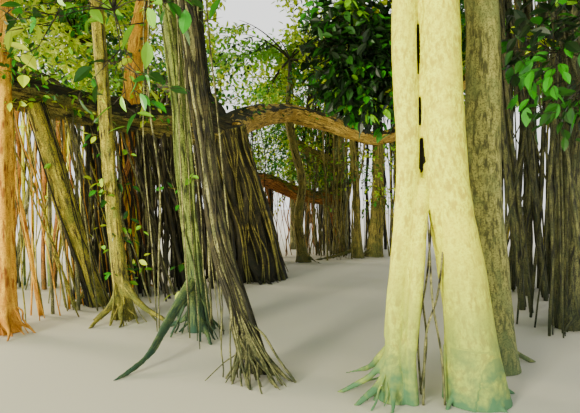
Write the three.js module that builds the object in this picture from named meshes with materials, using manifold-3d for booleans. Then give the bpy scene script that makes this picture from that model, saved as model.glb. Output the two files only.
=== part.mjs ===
// A banyan tree whose aerial roots have grown into pillars, standing either side of a path.
// Units are millimetres and +Z is up. The origin is the middle of the flat cut under the
// trunk's front leg, and the path runs along +Y between the trunk and the pillars to its left.

import * as THREE from "three";
import { mergeVertices } from "three/addons/utils/BufferGeometryUtils.js";
import Module from "manifold-3d";

const wasm = await Module();
wasm.setup();

// Driving dimensions of the crown: a low wide dome, arched underneath.
const CROWN = { x: -1500, y: 4500, reachX: 11200, reachY: 11500, rimHeight: 4900, top: 12300 };
const CROWN_MIDDLE = new THREE.Vector3(CROWN.x, CROWN.y, CROWN.rimHeight);
const UNDERSIDE = { rim: 4000, arch: 2300 };
const SKIRT_DROP = 1100; // how far the crown hangs below its widest level

// Clearances between pieces that touch.
const SEAT_GAP = 0.3; // a limb to the limb that carries it
const SPACE_GAP = 70; // one mass of foliage to the next
const LIMB_GAP = 12; // a leaf spray or twig to any limb

// Foliage: each blade stands for one spray of leaves.
const SPRAY_WIDTH = 0.72; // of its length
const SPRAY_THICKNESS = 0.045; // of its length
const SHORTEST_SPRAY = 0.45; // of the full length, below which a spray is skipped
const SPRAY_TILT = 0.95; // radians between a side spray and its twig
const FACE_TILT = 0.5; // radians that a spray's face leans from level
const TWIG_SHARE = 0.62; // of the way from a mass's middle to the edge of its space
const OUTWARD_PULL = 0.45; // how far twigs that are spread evenly are pulled out of the crown
const RAY_STEP = 60; // how finely the room along a direction is measured

// The foot of a limb.
const FLARE_LEAST = 300; // the least height over which a flare dies away
const FOOT_CROWD = 1.6; // how strongly the rings gather at a flared foot
const ROOT_SEARCH = 80; // steps in which a root's height is looked for along its stem

const UP = new THREE.Vector3(0, 0, 1);
const STEEP = 0.7; // the upward share of a direction, past which it counts as upright
const GOLDEN = 0.6180339887; // steps of this share of a turn spread evenly
const SEED_STEP = 0.7548776662;

// The limbs in the order they are seated: each is cut to the ones before it where it meets them.
// points are places on its middle line, girth its thickness at both ends, and flare how much
// wider than that its foot is. flutes and depth give ridges round it. roots gives the surface
// roots at its foot, each by its heading in degrees, its reach and its height on the stem.
// carries names the mass of foliage that grows from its tip.
const TRUNK_LEGS = [
  {
    points: [[0, 0, -80], [-85, 0, 800], [-238, 0, 1700], [-308, 20, 3200], [-260, 160, 4700]],
    girth: [360, 300], flare: 0.6, sides: 10, steps: 7,
    roots: [[215, 380, 380], [300, 320, 300], [20, 400, 330]],
  },
  {
    points: [[-655, 0, -80], [-622, 0, 700], [-570, 0, 1700], [-588, 30, 3200], [-330, 190, 4600]],
    girth: [175, 215], flare: 0.7, sides: 8, steps: 6,
    roots: [[118, 730, 480], [160, 470, 430], [200, 360, 330], [255, 300, 260]],
  },
  {
    points: [[450, 760, -80], [375, 720, 900], [300, 680, 1800], [225, 560, 3500], [-180, 280, 4700]],
    girth: [370, 260], flare: 0.4, sides: 8, steps: 6,
    roots: [[20, 520, 400], [80, 560, 380]],
  },
  {
    points: [
      [-455, -10, 1900], [-490, -60, 1250], [-528, -80, 800], [-560, -90, 350], [-545, -90, -80],
    ],
    girth: [115, 90], sides: 5, steps: 4,
  },
  {
    points: [[-450, 110, 1650], [-450, 130, 2600], [-440, 150, 3600], [-330, 180, 4600]],
    girth: [140, 220], sides: 6, steps: 4,
  },
];

const LIMBS = {
  // Two pillars that have become trunks of their own and carry boughs.
  pillar_great: {
    points: [[-2350, 6350, -80], [-2400, 6120, 900], [-2530, 5800, 1800], [-2700, 5420, 2980]],
    girth: [1180, 670], flare: 0.35, sides: 14, steps: 6, flutes: 7, depth: 0.13,
    roots: [[250, 1250, 520], [300, 1050, 480], [200, 1150, 520]],
  },
  pillar_rear_right: {
    points: [[0, 10900, -60], [30, 10880, 1500], [-60, 10840, 3600], [-50, 10500, 6700]],
    girth: [380, 240], flare: 0.45, sides: 10, steps: 6, flutes: 5, depth: 0.1,
    roots: [[240, 620, 330], [300, 560, 330]],
    carries: "foliage_mid_4",
  },

  // Boughs from the trunk's fork.
  bough_front: {
    points: [[-260, 160, 4550], [-700, -800, 5100], [-1200, -2400, 5500], [-1400, -3600, 5800]],
    girth: [360, 220], sides: 6, carries: "foliage_rim_5",
  },
  bough_right: {
    points: [[-260, 160, 4600], [1200, -100, 5150], [2900, -700, 5450], [4200, -1300, 5800]],
    girth: [360, 220], sides: 6, carries: "foliage_rim_4",
  },
  bough_right_rear: {
    points: [
      [-200, 250, 4650], [600, 2100, 5150], [2640, 4800, 5350], [4500, 4900, 5500],
      [6500, 4600, 5800],
    ],
    girth: [380, 230], steps: 8, carries: "foliage_rim_3",
  },
  bough_over_path: {
    points: [
      [-280, 180, 4600], [-1500, 1200, 5500], [-3250, 2400, 6250], [-4400, 3000, 6500],
      [-5700, 3450, 7300],
    ],
    girth: [330, 200], steps: 7, carries: "foliage_mid_2",
  },
  bough_mid_front: {
    points: [[-270, 150, 4700], [-900, -100, 6000], [-1800, -400, 7100], [-2150, -550, 7700]],
    girth: [280, 180], sides: 6, carries: "foliage_mid_1",
  },
  bough_mid_right: {
    points: [
      [-230, 200, 4650], [1000, 1150, 5050], [1950, 2080, 5500], [2700, 2300, 6700],
      [3000, 2200, 7700],
    ],
    girth: [340, 190], steps: 7, carries: "foliage_mid_5",
  },
  bough_top: {
    points: [[-260, 220, 4700], [-400, 900, 6500], [-200, 2000, 8000], [-50, 2800, 9200]],
    girth: [330, 190], sides: 6, steps: 5, carries: "foliage_top_right",
  },

  // Boughs from the great pillar on the left, which arch over the path and away from it.
  bough_left: {
    points: [
      [-2680, 5470, 2820], [-3340, 5200, 2962], [-4252, 4600, 3030], [-5080, 3300, 3060],
      [-5592, 2200, 3240], [-6500, 500, 4500], [-7300, -900, 5600],
    ],
    girth: [600, 240], steps: 11, carries: "foliage_rim_6",
  },
  bough_arch: {
    points: [
      [-2680, 5540, 2840], [-2560, 6600, 3220], [-1552, 8900, 3819], [-569, 9300, 3640],
      [186, 9600, 3395], [1100, 10000, 3330], [2900, 10500, 4400], [4100, 10700, 5600],
    ],
    girth: [580, 250], steps: 12, carries: "foliage_rim_2",
  },
  bough_low: {
    points: [
      [-2500, 5950, 2060], [-2700, 8000, 2080], [-2060, 10000, 2110], [-1214, 10330, 1760],
      [0, 10880, 1600],
    ],
    girth: [420, 330], steps: 7,
  },
  bough_rear: {
    points: [
      [0, 10880, 2450], [-630, 10500, 2850], [-1297, 10700, 3250], [-1500, 12100, 4400],
      [-1500, 12900, 5500],
    ],
    girth: [330, 220], steps: 7, carries: "foliage_rim_1",
  },
  bough_rising: {
    points: [
      [-4252, 4600, 3000], [-4120, 4470, 3900], [-3919, 4400, 4960], [-3300, 4700, 7000],
      [-2950, 5100, 8600],
    ],
    girth: [290, 200], steps: 6, carries: "foliage_top_left",
  },
  bough_far_left: {
    points: [[-4252, 4600, 3030], [-5000, 5150, 3200], [-7000, 5200, 4300], [-9100, 4700, 5600]],
    girth: [380, 220], carries: "foliage_rim_7",
  },
  bough_rear_left: {
    points: [[-2700, 5500, 2780], [-3300, 6700, 3700], [-5000, 8800, 4700], [-6900, 10100, 5700]],
    girth: [420, 220], sides: 6, carries: "foliage_rim_8",
  },
  bough_mid_left: {
    points: [[-3300, 6700, 3700], [-3500, 7200, 4900], [-3700, 8000, 6500], [-3780, 8600, 7600]],
    girth: [260, 180], sides: 6, carries: "foliage_mid_3",
  },

  // Pillars to the left of the path, from the nearest to the camera's end of it.
  pillar_smooth_left: {
    points: [
      [-2607, 2150, -60], [-2690, 2180, 700], [-2777, 2200, 1600], [-2888, 2250, 2850],
      [-3037, 2300, 4120], [-3250, 2400, 6250],
    ],
    girth: [205, 140], flare: 0.65, sides: 8, steps: 7,
    roots: [[255, 1850, 620], [290, 700, 420], [160, 500, 300]],
  },
  pillar_bundle: {
    points: [
      [-1760, 650, -60], [-1975, 800, 560], [-2180, 950, 1150], [-2445, 1250, 2650],
      [-2655, 1500, 3800], [-3150, 2330, 5300],
    ],
    girth: [150, 190], flare: 0.35, steps: 7,
    roots: [[235, 430, 420], [262, 480, 380], [290, 470, 400], [318, 420, 420]],
  },
  pillar_yellow: {
    points: [
      [-3737, 2780, -60], [-3840, 2800, 800], [-3939, 2850, 1600], [-4067, 2900, 2980],
      [-4202, 3000, 4400], [-4400, 3000, 6500],
    ],
    girth: [195, 150], flare: 0.75, sides: 8, roots: [[245, 650, 420], [280, 560, 330], [330, 900, 520]],
  },
  pillar_far_left: {
    points: [
      [-4954, 2060, -60], [-5000, 2130, 900], [-5090, 2290, 2000], [-5185, 2465, 3100],
      [-5260, 2700, 4500], [-5400, 3300, 7050],
    ],
    girth: [220, 160], flare: 0.6, steps: 7, roots: [[250, 480, 420], [300, 520, 420], [350, 420, 330]],
  },
  pillar_leaning: {
    points: [[-4388, 3600, -60], [-4700, 3330, 1300], [-5060, 3010, 2950]],
    girth: [250, 230], flare: 0.25, steps: 4, roots: [[300, 420, 260], [200, 420, 420]],
  },
  pillar_leaning_thin: {
    points: [[-4570, 4650, -60], [-4830, 4350, 1400], [-5000, 3930, 2960]],
    girth: [130, 110], flare: 0.2, sides: 6, steps: 4,
  },
  pillar_pale: {
    points: [[-5000, 5300, -60], [-5020, 5200, 1500], [-4930, 5140, 3200]],
    girth: [190, 150], flare: 0.4, sides: 6, steps: 4, roots: [[270, 380, 260]],
  },
  pillar_orange: {
    points: [[-4300, 5300, -60], [-4420, 5000, 1500], [-4330, 4690, 3000]],
    girth: [270, 230], flare: 0.3, steps: 4, roots: [[230, 430, 300], [330, 430, 300]],
  },
  pillar_strands: {
    points: [[-3500, 5350, -60], [-3640, 5250, 1500], [-3740, 4990, 2990]],
    girth: [230, 190], flare: 0.3, sides: 6, steps: 4,
  },

  // Pillars behind, under the arching boughs.
  pillar_middle: {
    points: [
      [-1150, 8900, -60], [-1290, 8850, 1150], [-1180, 8940, 2050], [-1400, 8920, 2950],
      [-1560, 8890, 3800],
    ],
    girth: [220, 190], flare: 0.9, steps: 5, roots: [[250, 520, 300], [330, 560, 330]],
  },
  pillar_right: {
    points: [[400, 9800, -60], [330, 9760, 1700], [190, 9600, 3400]],
    girth: [210, 190], flare: 0.5, sides: 6, steps: 4, roots: [[200, 1500, 260]],
  },
  pillar_stub: {
    points: [[886, 10200, -60], [960, 10150, 1700], [1010, 9960, 3300]],
    girth: [340, 260], flare: 0.5, sides: 6, steps: 4, roots: [[215, 700, 380]],
  },
  pillar_low_bough: {
    points: [[-2040, 10050, -60], [-2060, 10030, 900], [-2060, 10000, 2120]],
    girth: [200, 150], flare: 0.5, sides: 6, steps: 4, roots: [[250, 380, 240]],
  },
  pillar_curtain: {
    points: [[-2330, 8900, -60], [-2440, 8850, 900], [-2480, 8800, 2120]],
    girth: [420, 260], flare: 0.4, sides: 10, steps: 3, flutes: 5, depth: 0.14,
  },
  pillar_rear: {
    points: [[-1350, 12300, -60], [-1420, 12280, 2000], [-1500, 12200, 4500]],
    girth: [240, 190], flare: 0.4, sides: 6, steps: 4,
  },
  pillar_rear_left: {
    points: [[-5250, 8900, -60], [-5200, 8850, 2400], [-5050, 8850, 4700]],
    girth: [260, 190], flare: 0.4, sides: 6, steps: 4,
  },
  pillar_outer_left: {
    points: [[-7100, 5350, -60], [-7080, 5300, 2200], [-7000, 5210, 4300]],
    girth: [230, 180], flare: 0.4, sides: 6, steps: 4,
  },

  // Pillars to the right of the path.
  pillar_back_thin: {
    points: [[2736, 4900, -60], [2720, 4850, 2500], [2640, 4790, 5300]],
    girth: [170, 130], flare: 0.4, sides: 6, steps: 4,
  },
  pillar_back_pair: {
    points: [[3000, 4600, -60], [3050, 4620, 2500], [3350, 4880, 5400]],
    girth: [200, 150], flare: 0.4, sides: 6, steps: 4,
  },
  pillar_right_edge: {
    points: [[2120, 2300, -60], [2090, 2260, 2500], [1950, 2090, 5450]],
    girth: [430, 300], flare: 0.35, sides: 10, steps: 4, flutes: 5, depth: 0.08,
    roots: [[230, 620, 380], [310, 560, 330]],
  },

  // Short boughs that reach down to the leaves hanging beside the path.
  spur_left: {
    points: [[-3030, 2300, 4050], [-3080, 1500, 4250], [-3050, 800, 4150], [-2950, 350, 3850]],
    girth: [110, 70], sides: 5, steps: 4, carries: "foliage_low_left",
  },
  spur_rear: {
    points: [[-300, 250, 4150], [-650, 1300, 4700], [-680, 2300, 4900], [-520, 2900, 4500]],
    girth: [150, 80], sides: 5, steps: 4, carries: "foliage_low_path",
  },
  spur_right: {
    points: [[-50, 400, 3900], [450, 300, 4100], [900, 350, 4050], [1150, 480, 3750]],
    girth: [130, 80], sides: 5, steps: 4, carries: "foliage_low_right",
  },
};

// The masses of foliage: a ring round the rim from the rear, clockwise seen from above, a ring
// above it, two at the top, and three that hang low beside the path. blade is the full length of
// a spray, and each mass has so many twigs, with so many sprays on each.
function ring(name, count, firstDegrees, radius, height, growth) {
  return Array.from({ length: count }, (unused, i) => {
    const angle = THREE.MathUtils.degToRad(firstDegrees - (360 / count) * i);
    const centre = [CROWN.x + radius * Math.cos(angle), CROWN.y + radius * Math.sin(angle), height];
    return { name: `${name}_${i + 1}`, centre, ...growth };
  });
}

const LOW_GROWTH = { blade: 640, twigs: 4, sprays: 3 };
const MASSES = [
  ...ring("foliage_rim", 8, 90, 9000, 6500, { blade: 2700, twigs: 5, sprays: 4 }),
  ...ring("foliage_mid", 5, -100, 5300, 8700, { blade: 2700, twigs: 5, sprays: 3 }),
  { name: "foliage_top_left", centre: [-2800, 5400, 10200], blade: 2500, twigs: 4, sprays: 3 },
  { name: "foliage_top_right", centre: [-100, 3400, 10200], blade: 2500, twigs: 4, sprays: 3 },
  { name: "foliage_low_left", centre: [-2850, -150, 3050], reach: [950, 800, 950], ...LOW_GROWTH },
  { name: "foliage_low_path", centre: [-600, 3100, 3550], reach: [850, 850, 1500], ...LOW_GROWTH },
  { name: "foliage_low_right", centre: [1200, 620, 2900], reach: [750, 800, 950], ...LOW_GROWTH },
].map((mass) => ({ ...mass, centre: new THREE.Vector3(...mass.centre) }));

// A mesh's geometry as a solid for joining and cutting.
function solidOf(geometry) {
  geometry.deleteAttribute("normal");
  geometry.deleteAttribute("uv");
  const merged = mergeVertices(geometry, 1e-3);
  return new wasm.Manifold(
    new wasm.Mesh({
      numProp: 3,
      vertProperties: new Float32Array(merged.attributes.position.array),
      triVerts: new Uint32Array(merged.index.array),
    }),
  );
}

function geometryOf(solid) {
  const mesh = solid.getMesh();
  const geometry = new THREE.BufferGeometry();
  geometry.setAttribute("position", new THREE.BufferAttribute(mesh.vertProperties, 3));
  geometry.setIndex(new THREE.BufferAttribute(mesh.triVerts, 1));
  geometry.computeVertexNormals();
  return geometry;
}

const join = (solids) => solids.reduce((whole, next) => whole.add(next));

// The biggest body of a solid, so that an offcut is dropped.
const bigger = (a, b) => (b.volume() > a.volume() ? b : a);
const biggest = (solid) => solid.decompose().reduce(bigger);

// A direction square to an axis, level where the axis is upright and upright where it isn't.
function across(axis, upright) {
  const fixed = upright ? new THREE.Vector3(1, 0, 0) : UP.clone();
  return fixed.addScaledVector(axis, -fixed.dot(axis)).normalize();
}

// A closed cylinder bent along a curve: each of its rings moves to its place on the curve, square
// to it, and takes the radius there. radiusAt is given the ring's share of the curve and the turn.
function sweep(curve, sides, steps, radiusAt, { crowd = 1, grow = 0 } = {}) {
  const chord = curve.getPoint(1).sub(curve.getPoint(0)).normalize();
  const upright = Math.abs(chord.z) > STEEP;
  const tube = new THREE.CylinderGeometry(1, 1, 1, sides, steps);
  const position = tube.getAttribute("position");
  for (let i = 0; i < position.count; i++) {
    const [x, y, z] = [position.getX(i), position.getY(i), position.getZ(i)];
    const share = THREE.MathUtils.clamp(y + 0.5, 0, 1) ** crowd;
    const tangent = curve.getTangentAt(share);
    const side = across(tangent, upright);
    const other = new THREE.Vector3().crossVectors(side, tangent);
    const radius = radiusAt(share, Math.atan2(x, z)) + grow;
    const past = share === 1 ? grow : share === 0 ? -grow : 0;
    const place = curve.getPointAt(share).addScaledVector(tangent, past);
    place.addScaledVector(side, x * radius).addScaledVector(other, z * radius);
    position.setXYZ(i, place.x, place.y, place.z);
  }
  return solidOf(tube);
}

function smooth(points) {
  const places = points.map((p) => new THREE.Vector3(...p));
  return new THREE.CatmullRomCurve3(places, false, "centripetal");
}

// A limb tapers evenly along its curve, swells towards a foot on the ground, and has ridges that
// fade as it rises. A flared limb's rings stand closer together near its foot.
function limb({ points, girth, sides = 7, steps = 5, flare = 0, flutes = 0, depth = 0 }, grow) {
  const curve = smooth(points);
  const flareHeight = Math.max(FLARE_LEAST, girth[0] * 1.2);
  const flareShare = flareHeight / curve.getLength();
  const radiusAt = (share, turn) => {
    const swell = 1 + flare * Math.exp(-share / flareShare);
    const ridge = 1 + depth * (1 - 0.6 * share) * Math.cos(flutes * turn);
    return (THREE.MathUtils.lerp(girth[0], girth[1], share) / 2) * swell * ridge;
  };
  return sweep(curve, sides, steps, radiusAt, { crowd: flare > 0 ? FOOT_CROWD : 1, grow });
}

// A surface root leaves the stem's middle at a height, runs down and out to its reach from the
// foot, and ends in the ground.
function surfaceRoot({ points, girth }, [degrees, reach, height], grow) {
  const stem = smooth(points).getSpacedPoints(ROOT_SEARCH);
  const top = stem.find((p) => p.z > height) ?? stem[0];
  const [foot] = stem;
  const angle = THREE.MathUtils.degToRad(degrees);
  const thick = Math.min(girth[0] * 0.55, 60 + reach * 0.09);
  const tip = [foot.x + Math.cos(angle) * reach, foot.y + Math.sin(angle) * reach, -thick * 0.2];
  const knee = [top.x * 0.6 + tip[0] * 0.4, top.y * 0.6 + tip[1] * 0.4, height * 0.4];
  const route = [top.toArray(), knee, tip];
  return limb({ points: route, girth: [thick, thick * 0.45], sides: 5, steps: 2 }, grow);
}

function rooted(spec, grow = 0) {
  const roots = (spec.roots ?? []).map((root) => surfaceRoot(spec, root, grow));
  return join([limb(spec, grow), ...roots]);
}

const trunk = (grow = 0) => join(TRUNK_LEGS.map((leg) => rooted(leg, grow)));

// Every limb is cut off level at the ground and cut to the limbs before it, a little clear of them.
const solids = {};
const ground = new THREE.BoxGeometry(60000, 60000, 4000).translate(0, 0, -2000);
let taken = solidOf(ground);
function seat(name, solidAt) {
  solids[name] = biggest(solidAt(0).subtract(taken));
  taken = taken.add(solidAt(SEAT_GAP));
}
seat("trunk", trunk);
for (const [name, spec] of Object.entries(LIMBS)) seat(name, (grow) => rooted(spec, grow));
const allLimbs = join(Object.values(solids));

// A number from 0 to 1 that is spread evenly over i and differs from seed to seed.
const spread = (i, seed) => (i * GOLDEN + seed * SEED_STEP) % 1;

// Whether a point lies in the crown: under its dome and over its arched underside.
function inCrown(p) {
  const out = Math.hypot((p.x - CROWN.x) / CROWN.reachX, (p.y - CROWN.y) / CROWN.reachY);
  const rise = p.z - CROWN.rimHeight;
  const height = rise > 0 ? CROWN.top - CROWN.rimHeight : SKIRT_DROP;
  const floor = UNDERSIDE.rim + UNDERSIDE.arch * (1 - out * out);
  return out * out + (rise / height) ** 2 < 1 && p.z > floor;
}

// A mass's space is the part of the crown that is nearer to its middle than to any other, and a
// low mass's is an ellipsoid of its own.
function inSpace(p, mass) {
  if (mass.reach) {
    const d = p.clone().sub(mass.centre);
    return Math.hypot(d.x / mass.reach[0], d.y / mass.reach[1], d.z / mass.reach[2]) < 1;
  }
  const own = p.distanceTo(mass.centre) + SPACE_GAP;
  const others = MASSES.filter((other) => other !== mass && !other.reach);
  return inCrown(p) && others.every((other) => p.distanceTo(other.centre) > own);
}

// How far one can go from a point in a direction, up to a limit, inside the mass's space.
function roomAlong(start, way, mass, most) {
  const at = (far) => start.clone().addScaledVector(way, far);
  let far = 0;
  while (far < most && inSpace(at(far + RAY_STEP), mass)) far += RAY_STEP;
  return far;
}

// A direction at an angle to an axis, turned about it.
function tilted(axis, angle, turn) {
  const side = across(axis, Math.abs(axis.z) > STEEP);
  const other = new THREE.Vector3().crossVectors(axis, side);
  const lean = side.multiplyScalar(Math.cos(turn)).addScaledVector(other, Math.sin(turn));
  return axis.clone().multiplyScalar(Math.cos(angle)).addScaledVector(lean, Math.sin(angle));
}

// A geometry made along +Y, moved to start at a point, run along a way and lie flat to a face.
function laid(geometry, start, way, face) {
  const width = new THREE.Vector3().crossVectors(way, face).normalize();
  const flat = new THREE.Vector3().crossVectors(width, way);
  return solidOf(geometry.applyMatrix4(new THREE.Matrix4().makeBasis(width, way, flat).setPosition(start)));
}

function twig(start, way, length, thick) {
  const made = new THREE.CylinderGeometry(thick * 0.3, thick * 0.5, length, 3, 1);
  return laid(made.translate(0, length / 2, 0), start, way, across(way, Math.abs(way.z) > STEEP));
}

// A spray of leaves as one blade: an octahedron of 8 faces, pointed at its root and its tip.
function spray(start, way, length, face) {
  const made = new THREE.OctahedronGeometry(length / 2)
    .scale(SPRAY_WIDTH, 1, SPRAY_THICKNESS)
    .translate(0, length / 2, 0);
  return laid(made, start, way, face);
}

const clearOfLimbs = (solid) => solid.minGap(allLimbs, LIMB_GAP) >= LIMB_GAP;

// The sprays on the outer half of a twig: the first straight on, the others in turn to its sides.
// One that would leave the mass's space, come out short, or touch a limb or another is skipped.
function addSprays(made, mass, seed, start, way, length) {
  for (let i = 0; i < mass.sprays; i++) {
    const root = start.clone().addScaledVector(way, length * (0.97 - (0.55 * i) / mass.sprays));
    const turn = 2 * Math.PI * spread(i, seed);
    const out = i === 0 ? way : tilted(way, SPRAY_TILT, turn);
    const long = Math.min(mass.blade, roomAlong(root, out, mass, mass.blade));
    const face = tilted(UP, FACE_TILT, turn + 1);
    const width = new THREE.Vector3().crossVectors(out, face).normalize();
    const middle = root.clone().addScaledVector(out, long / 2);
    const half = (SPRAY_WIDTH * long) / 2;
    const corners = [-half, half].map((side) => middle.clone().addScaledVector(width, side));
    if (long < mass.blade * SHORTEST_SPRAY || !corners.every((p) => inSpace(p, mass))) continue;
    const leaf = spray(root, out, long, face);
    if (clearOfLimbs(leaf) && made.every((other) => leaf.intersect(other).isEmpty())) made.push(leaf);
  }
}

// A mass grows from the tip of its limb: a stem to its middle, twigs from the stem's end towards
// every side of its space but more of them outwards, and sprays on the twigs.
function foliage(mass, index, carrier) {
  const limbCurve = smooth(carrier.points);
  const way = limbCurve.getTangentAt(1);
  const start = limbCurve.getPointAt(1).addScaledVector(way, SEAT_GAP);
  const bow = start.clone().addScaledVector(way, start.distanceTo(mass.centre) * 0.45);
  const stem = new THREE.QuadraticBezierCurve3(start, bow, mass.centre);
  const thick = carrier.girth[1] * 0.9;
  const twigs = [];
  const leaves = [];
  const from = stem.getPointAt(0.97);
  const outward = mass.centre.clone().sub(CROWN_MIDDLE).normalize();
  for (let i = 0; i < mass.twigs; i++) {
    const level = 1 - (2 * i + 1) / mass.twigs;
    const turn = 2 * Math.PI * spread(i, index);
    const flat = Math.sqrt(1 - level * level);
    const even = new THREE.Vector3(flat * Math.cos(turn), flat * Math.sin(turn), level);
    const heading = even.addScaledVector(outward, OUTWARD_PULL).normalize();
    const length = roomAlong(from, heading, mass, CROWN.reachX) * TWIG_SHARE;
    const shoot = twig(from, heading, length, thick * 0.5);
    if (!clearOfLimbs(shoot)) continue;
    twigs.push(shoot);
    addSprays(leaves, mass, index * 7 + i, from, heading, length);
  }
  const stemRadius = (share) => (thick / 2) * (1 - 0.4 * share);
  return biggest(join([sweep(stem, 5, 3, stemRadius), ...twigs, ...leaves]));
}

const carrierOf = (mass) => Object.values(LIMBS).find((spec) => spec.carries === mass.name);
MASSES.forEach((mass, index) => (solids[mass.name] = foliage(mass, index, carrierOf(mass))));

// Each solid becomes a mesh with a finish of its own kind: pale, ochre or dark bark, or leaves.
const FINISHES = {
  pale: new THREE.MeshStandardMaterial({ color: 0xd8cf9a, roughness: 0.8, metalness: 0 }),
  ochre: new THREE.MeshStandardMaterial({ color: 0xb98a45, roughness: 0.85, metalness: 0 }),
  dark: new THREE.MeshStandardMaterial({ color: 0x6b5a35, roughness: 0.9, metalness: 0 }),
  leaf: new THREE.MeshStandardMaterial({ color: 0x4f7d22, roughness: 0.5, metalness: 0 }),
};
const PALE = ["trunk", "pillar_smooth_left", "pillar_pale"];
const OCHRE = [
  "pillar_bundle", "pillar_yellow", "pillar_far_left", "pillar_leaning", "pillar_orange", "pillar_middle",
  "bough_arch", "bough_low", "bough_rising",
];

function finishOf(name) {
  if (name.startsWith("foliage")) return FINISHES.leaf;
  if (PALE.includes(name)) return FINISHES.pale;
  return OCHRE.includes(name) ? FINISHES.ochre : FINISHES.dark;
}

const tree = new THREE.Group();
for (const [name, solid] of Object.entries(solids)) {
  const mesh = new THREE.Mesh(geometryOf(solid), finishOf(name));
  mesh.name = name;
  tree.add(mesh);
}

export default tree;
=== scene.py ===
# %% [markdown]
# A banyan is a fig whose boughs let down aerial roots. The ones that reach the ground thicken
# into pillars, and neighbouring stems grow together into fluted trunks. This notebook dresses
# the plain solids of such a tree: every limb gets a skin with the bark's own relief, and every
# mass of foliage gets real twigs and leaves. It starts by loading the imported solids, which fix
# all places and sizes in metres.

# %% Load the frame
import itertools
import math

import bmesh
import bpy
import numpy as np
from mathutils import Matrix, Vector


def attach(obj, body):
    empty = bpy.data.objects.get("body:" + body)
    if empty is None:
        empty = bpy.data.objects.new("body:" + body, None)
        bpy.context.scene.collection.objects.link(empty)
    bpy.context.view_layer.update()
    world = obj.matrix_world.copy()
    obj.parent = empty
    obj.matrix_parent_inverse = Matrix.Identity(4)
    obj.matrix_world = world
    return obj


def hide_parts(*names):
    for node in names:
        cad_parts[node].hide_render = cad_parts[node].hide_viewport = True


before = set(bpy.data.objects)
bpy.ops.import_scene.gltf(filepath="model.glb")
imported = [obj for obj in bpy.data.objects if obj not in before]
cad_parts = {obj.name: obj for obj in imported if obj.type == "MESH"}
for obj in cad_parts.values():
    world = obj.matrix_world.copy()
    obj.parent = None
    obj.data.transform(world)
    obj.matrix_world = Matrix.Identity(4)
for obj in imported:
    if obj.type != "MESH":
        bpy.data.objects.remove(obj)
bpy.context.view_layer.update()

# %% [markdown]
# Every mesh here is worked out with numpy as a few arrays: the places of its vertices, its
# four-sided and three-sided faces, and for bark a grain coordinate. The grain coordinate
# says where a vertex lies in its limb as if the limb were straight, so a pattern can run along
# a bent bough. Arrays go into a Blender mesh in one call each, which is far quicker than adding
# faces one by one.

# %% Shapes as arrays
NO_QUADS = np.empty((0, 4), int)
NO_TRIANGLES = np.empty((0, 3), int)


def unit(vectors):
    """Each vector divided by its own length."""
    return vectors / np.linalg.norm(vectors, axis=-1, keepdims=True)


def joined(shapes):
    """Several shapes as one: later vertex numbers move up by the vertices before them."""
    starts = np.cumsum([0] + [len(shape["places"]) for shape in shapes])
    return {
        "places": np.concatenate([s["places"] for s in shapes]),
        "grain": np.concatenate([s["grain"] for s in shapes]),
        "quads": np.concatenate([s["quads"] + n for s, n in zip(shapes, starts)]),
        "triangles": np.concatenate([s["triangles"] + n for s, n in zip(shapes, starts)]),
    }


def mesh_of(name, shape):
    """A Blender mesh from a shape: quads come first, then triangles."""
    quads, triangles = shape["quads"], shape["triangles"]
    corners = np.concatenate([quads.ravel(), triangles.ravel()])
    sizes = np.repeat([4, 3], [len(quads), len(triangles)])
    mesh = bpy.data.meshes.new(name)
    mesh.vertices.add(len(shape["places"]))
    mesh.vertices.foreach_set("co", shape["places"].astype(np.float32).ravel())
    mesh.loops.add(len(corners))
    mesh.loops.foreach_set("vertex_index", corners.astype(np.int32))
    mesh.polygons.add(len(sizes))
    mesh.polygons.foreach_set("loop_start", (np.cumsum(sizes) - sizes).astype(np.int32))
    if "grain" in shape:
        layer = mesh.attributes.new("grain", "FLOAT_VECTOR", "POINT")
        layer.data.foreach_set("vector", shape["grain"].astype(np.float32).ravel())
    mesh.update(calc_edges=True)
    return mesh


def values_of(items, field, width, kind=float):
    """One field of a mesh's vertices, corners or faces, as a row of numbers for each."""
    found = np.empty(len(items) * width, kind)
    items.foreach_get(field, found)
    return found.reshape(-1, width)


print("a unit vector:", unit(np.array([3.0, 0.0, 4.0])))

# %% [markdown]
# The limbs are the same curves as in the solids: a centripetal Catmull-Rom spline through a few
# places. It passes through each of them without loops or overshoot, which suits a limb that
# bends where it grew towards light.

# %% Curves
STEEP = 0.7  # the upward share of a direction, past which it counts as upright
CURVE_PIECES = 24  # between two of its points


def evenly(path, shares):
    """The places at some shares of a path's length."""
    steps = np.linalg.norm(np.diff(path, axis=0), axis=1)
    along = np.concatenate([[0], np.cumsum(steps)])
    return np.stack([np.interp(shares * along[-1], along, axis) for axis in path.T], axis=1)


def smooth_curve(points):
    """A centripetal Catmull-Rom spline: between two points it is a cubic whose end slopes come
    from the points on either side, weighed by the square roots of the distances."""
    p = np.asarray(points, float)
    p = np.vstack([2 * p[0] - p[1], p, 2 * p[-1] - p[-2]])
    step = np.sqrt(np.linalg.norm(np.diff(p, axis=0), axis=1))[:, None]
    before, here, after = step[:-2], step[1:-1], step[2:]
    p0, p1, p2, p3 = p[:-3], p[1:-2], p[2:-1], p[3:]
    start = here * ((p1 - p0) / before - (p2 - p0) / (before + here) + (p2 - p1) / here)
    end = here * ((p2 - p1) / here - (p3 - p1) / (here + after) + (p3 - p2) / after)
    t = (np.arange(CURVE_PIECES) / CURVE_PIECES)[None, :, None]
    bend, turn = 3 * (p2 - p1) - 2 * start - end, 2 * (p1 - p2) + start + end
    cubic = [term[:, None] for term in (p1, start, bend, turn)]
    curve = cubic[0] + cubic[1] * t + cubic[2] * t**2 + cubic[3] * t**3
    return np.vstack([curve.reshape(-1, 3), p[-2]])


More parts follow.
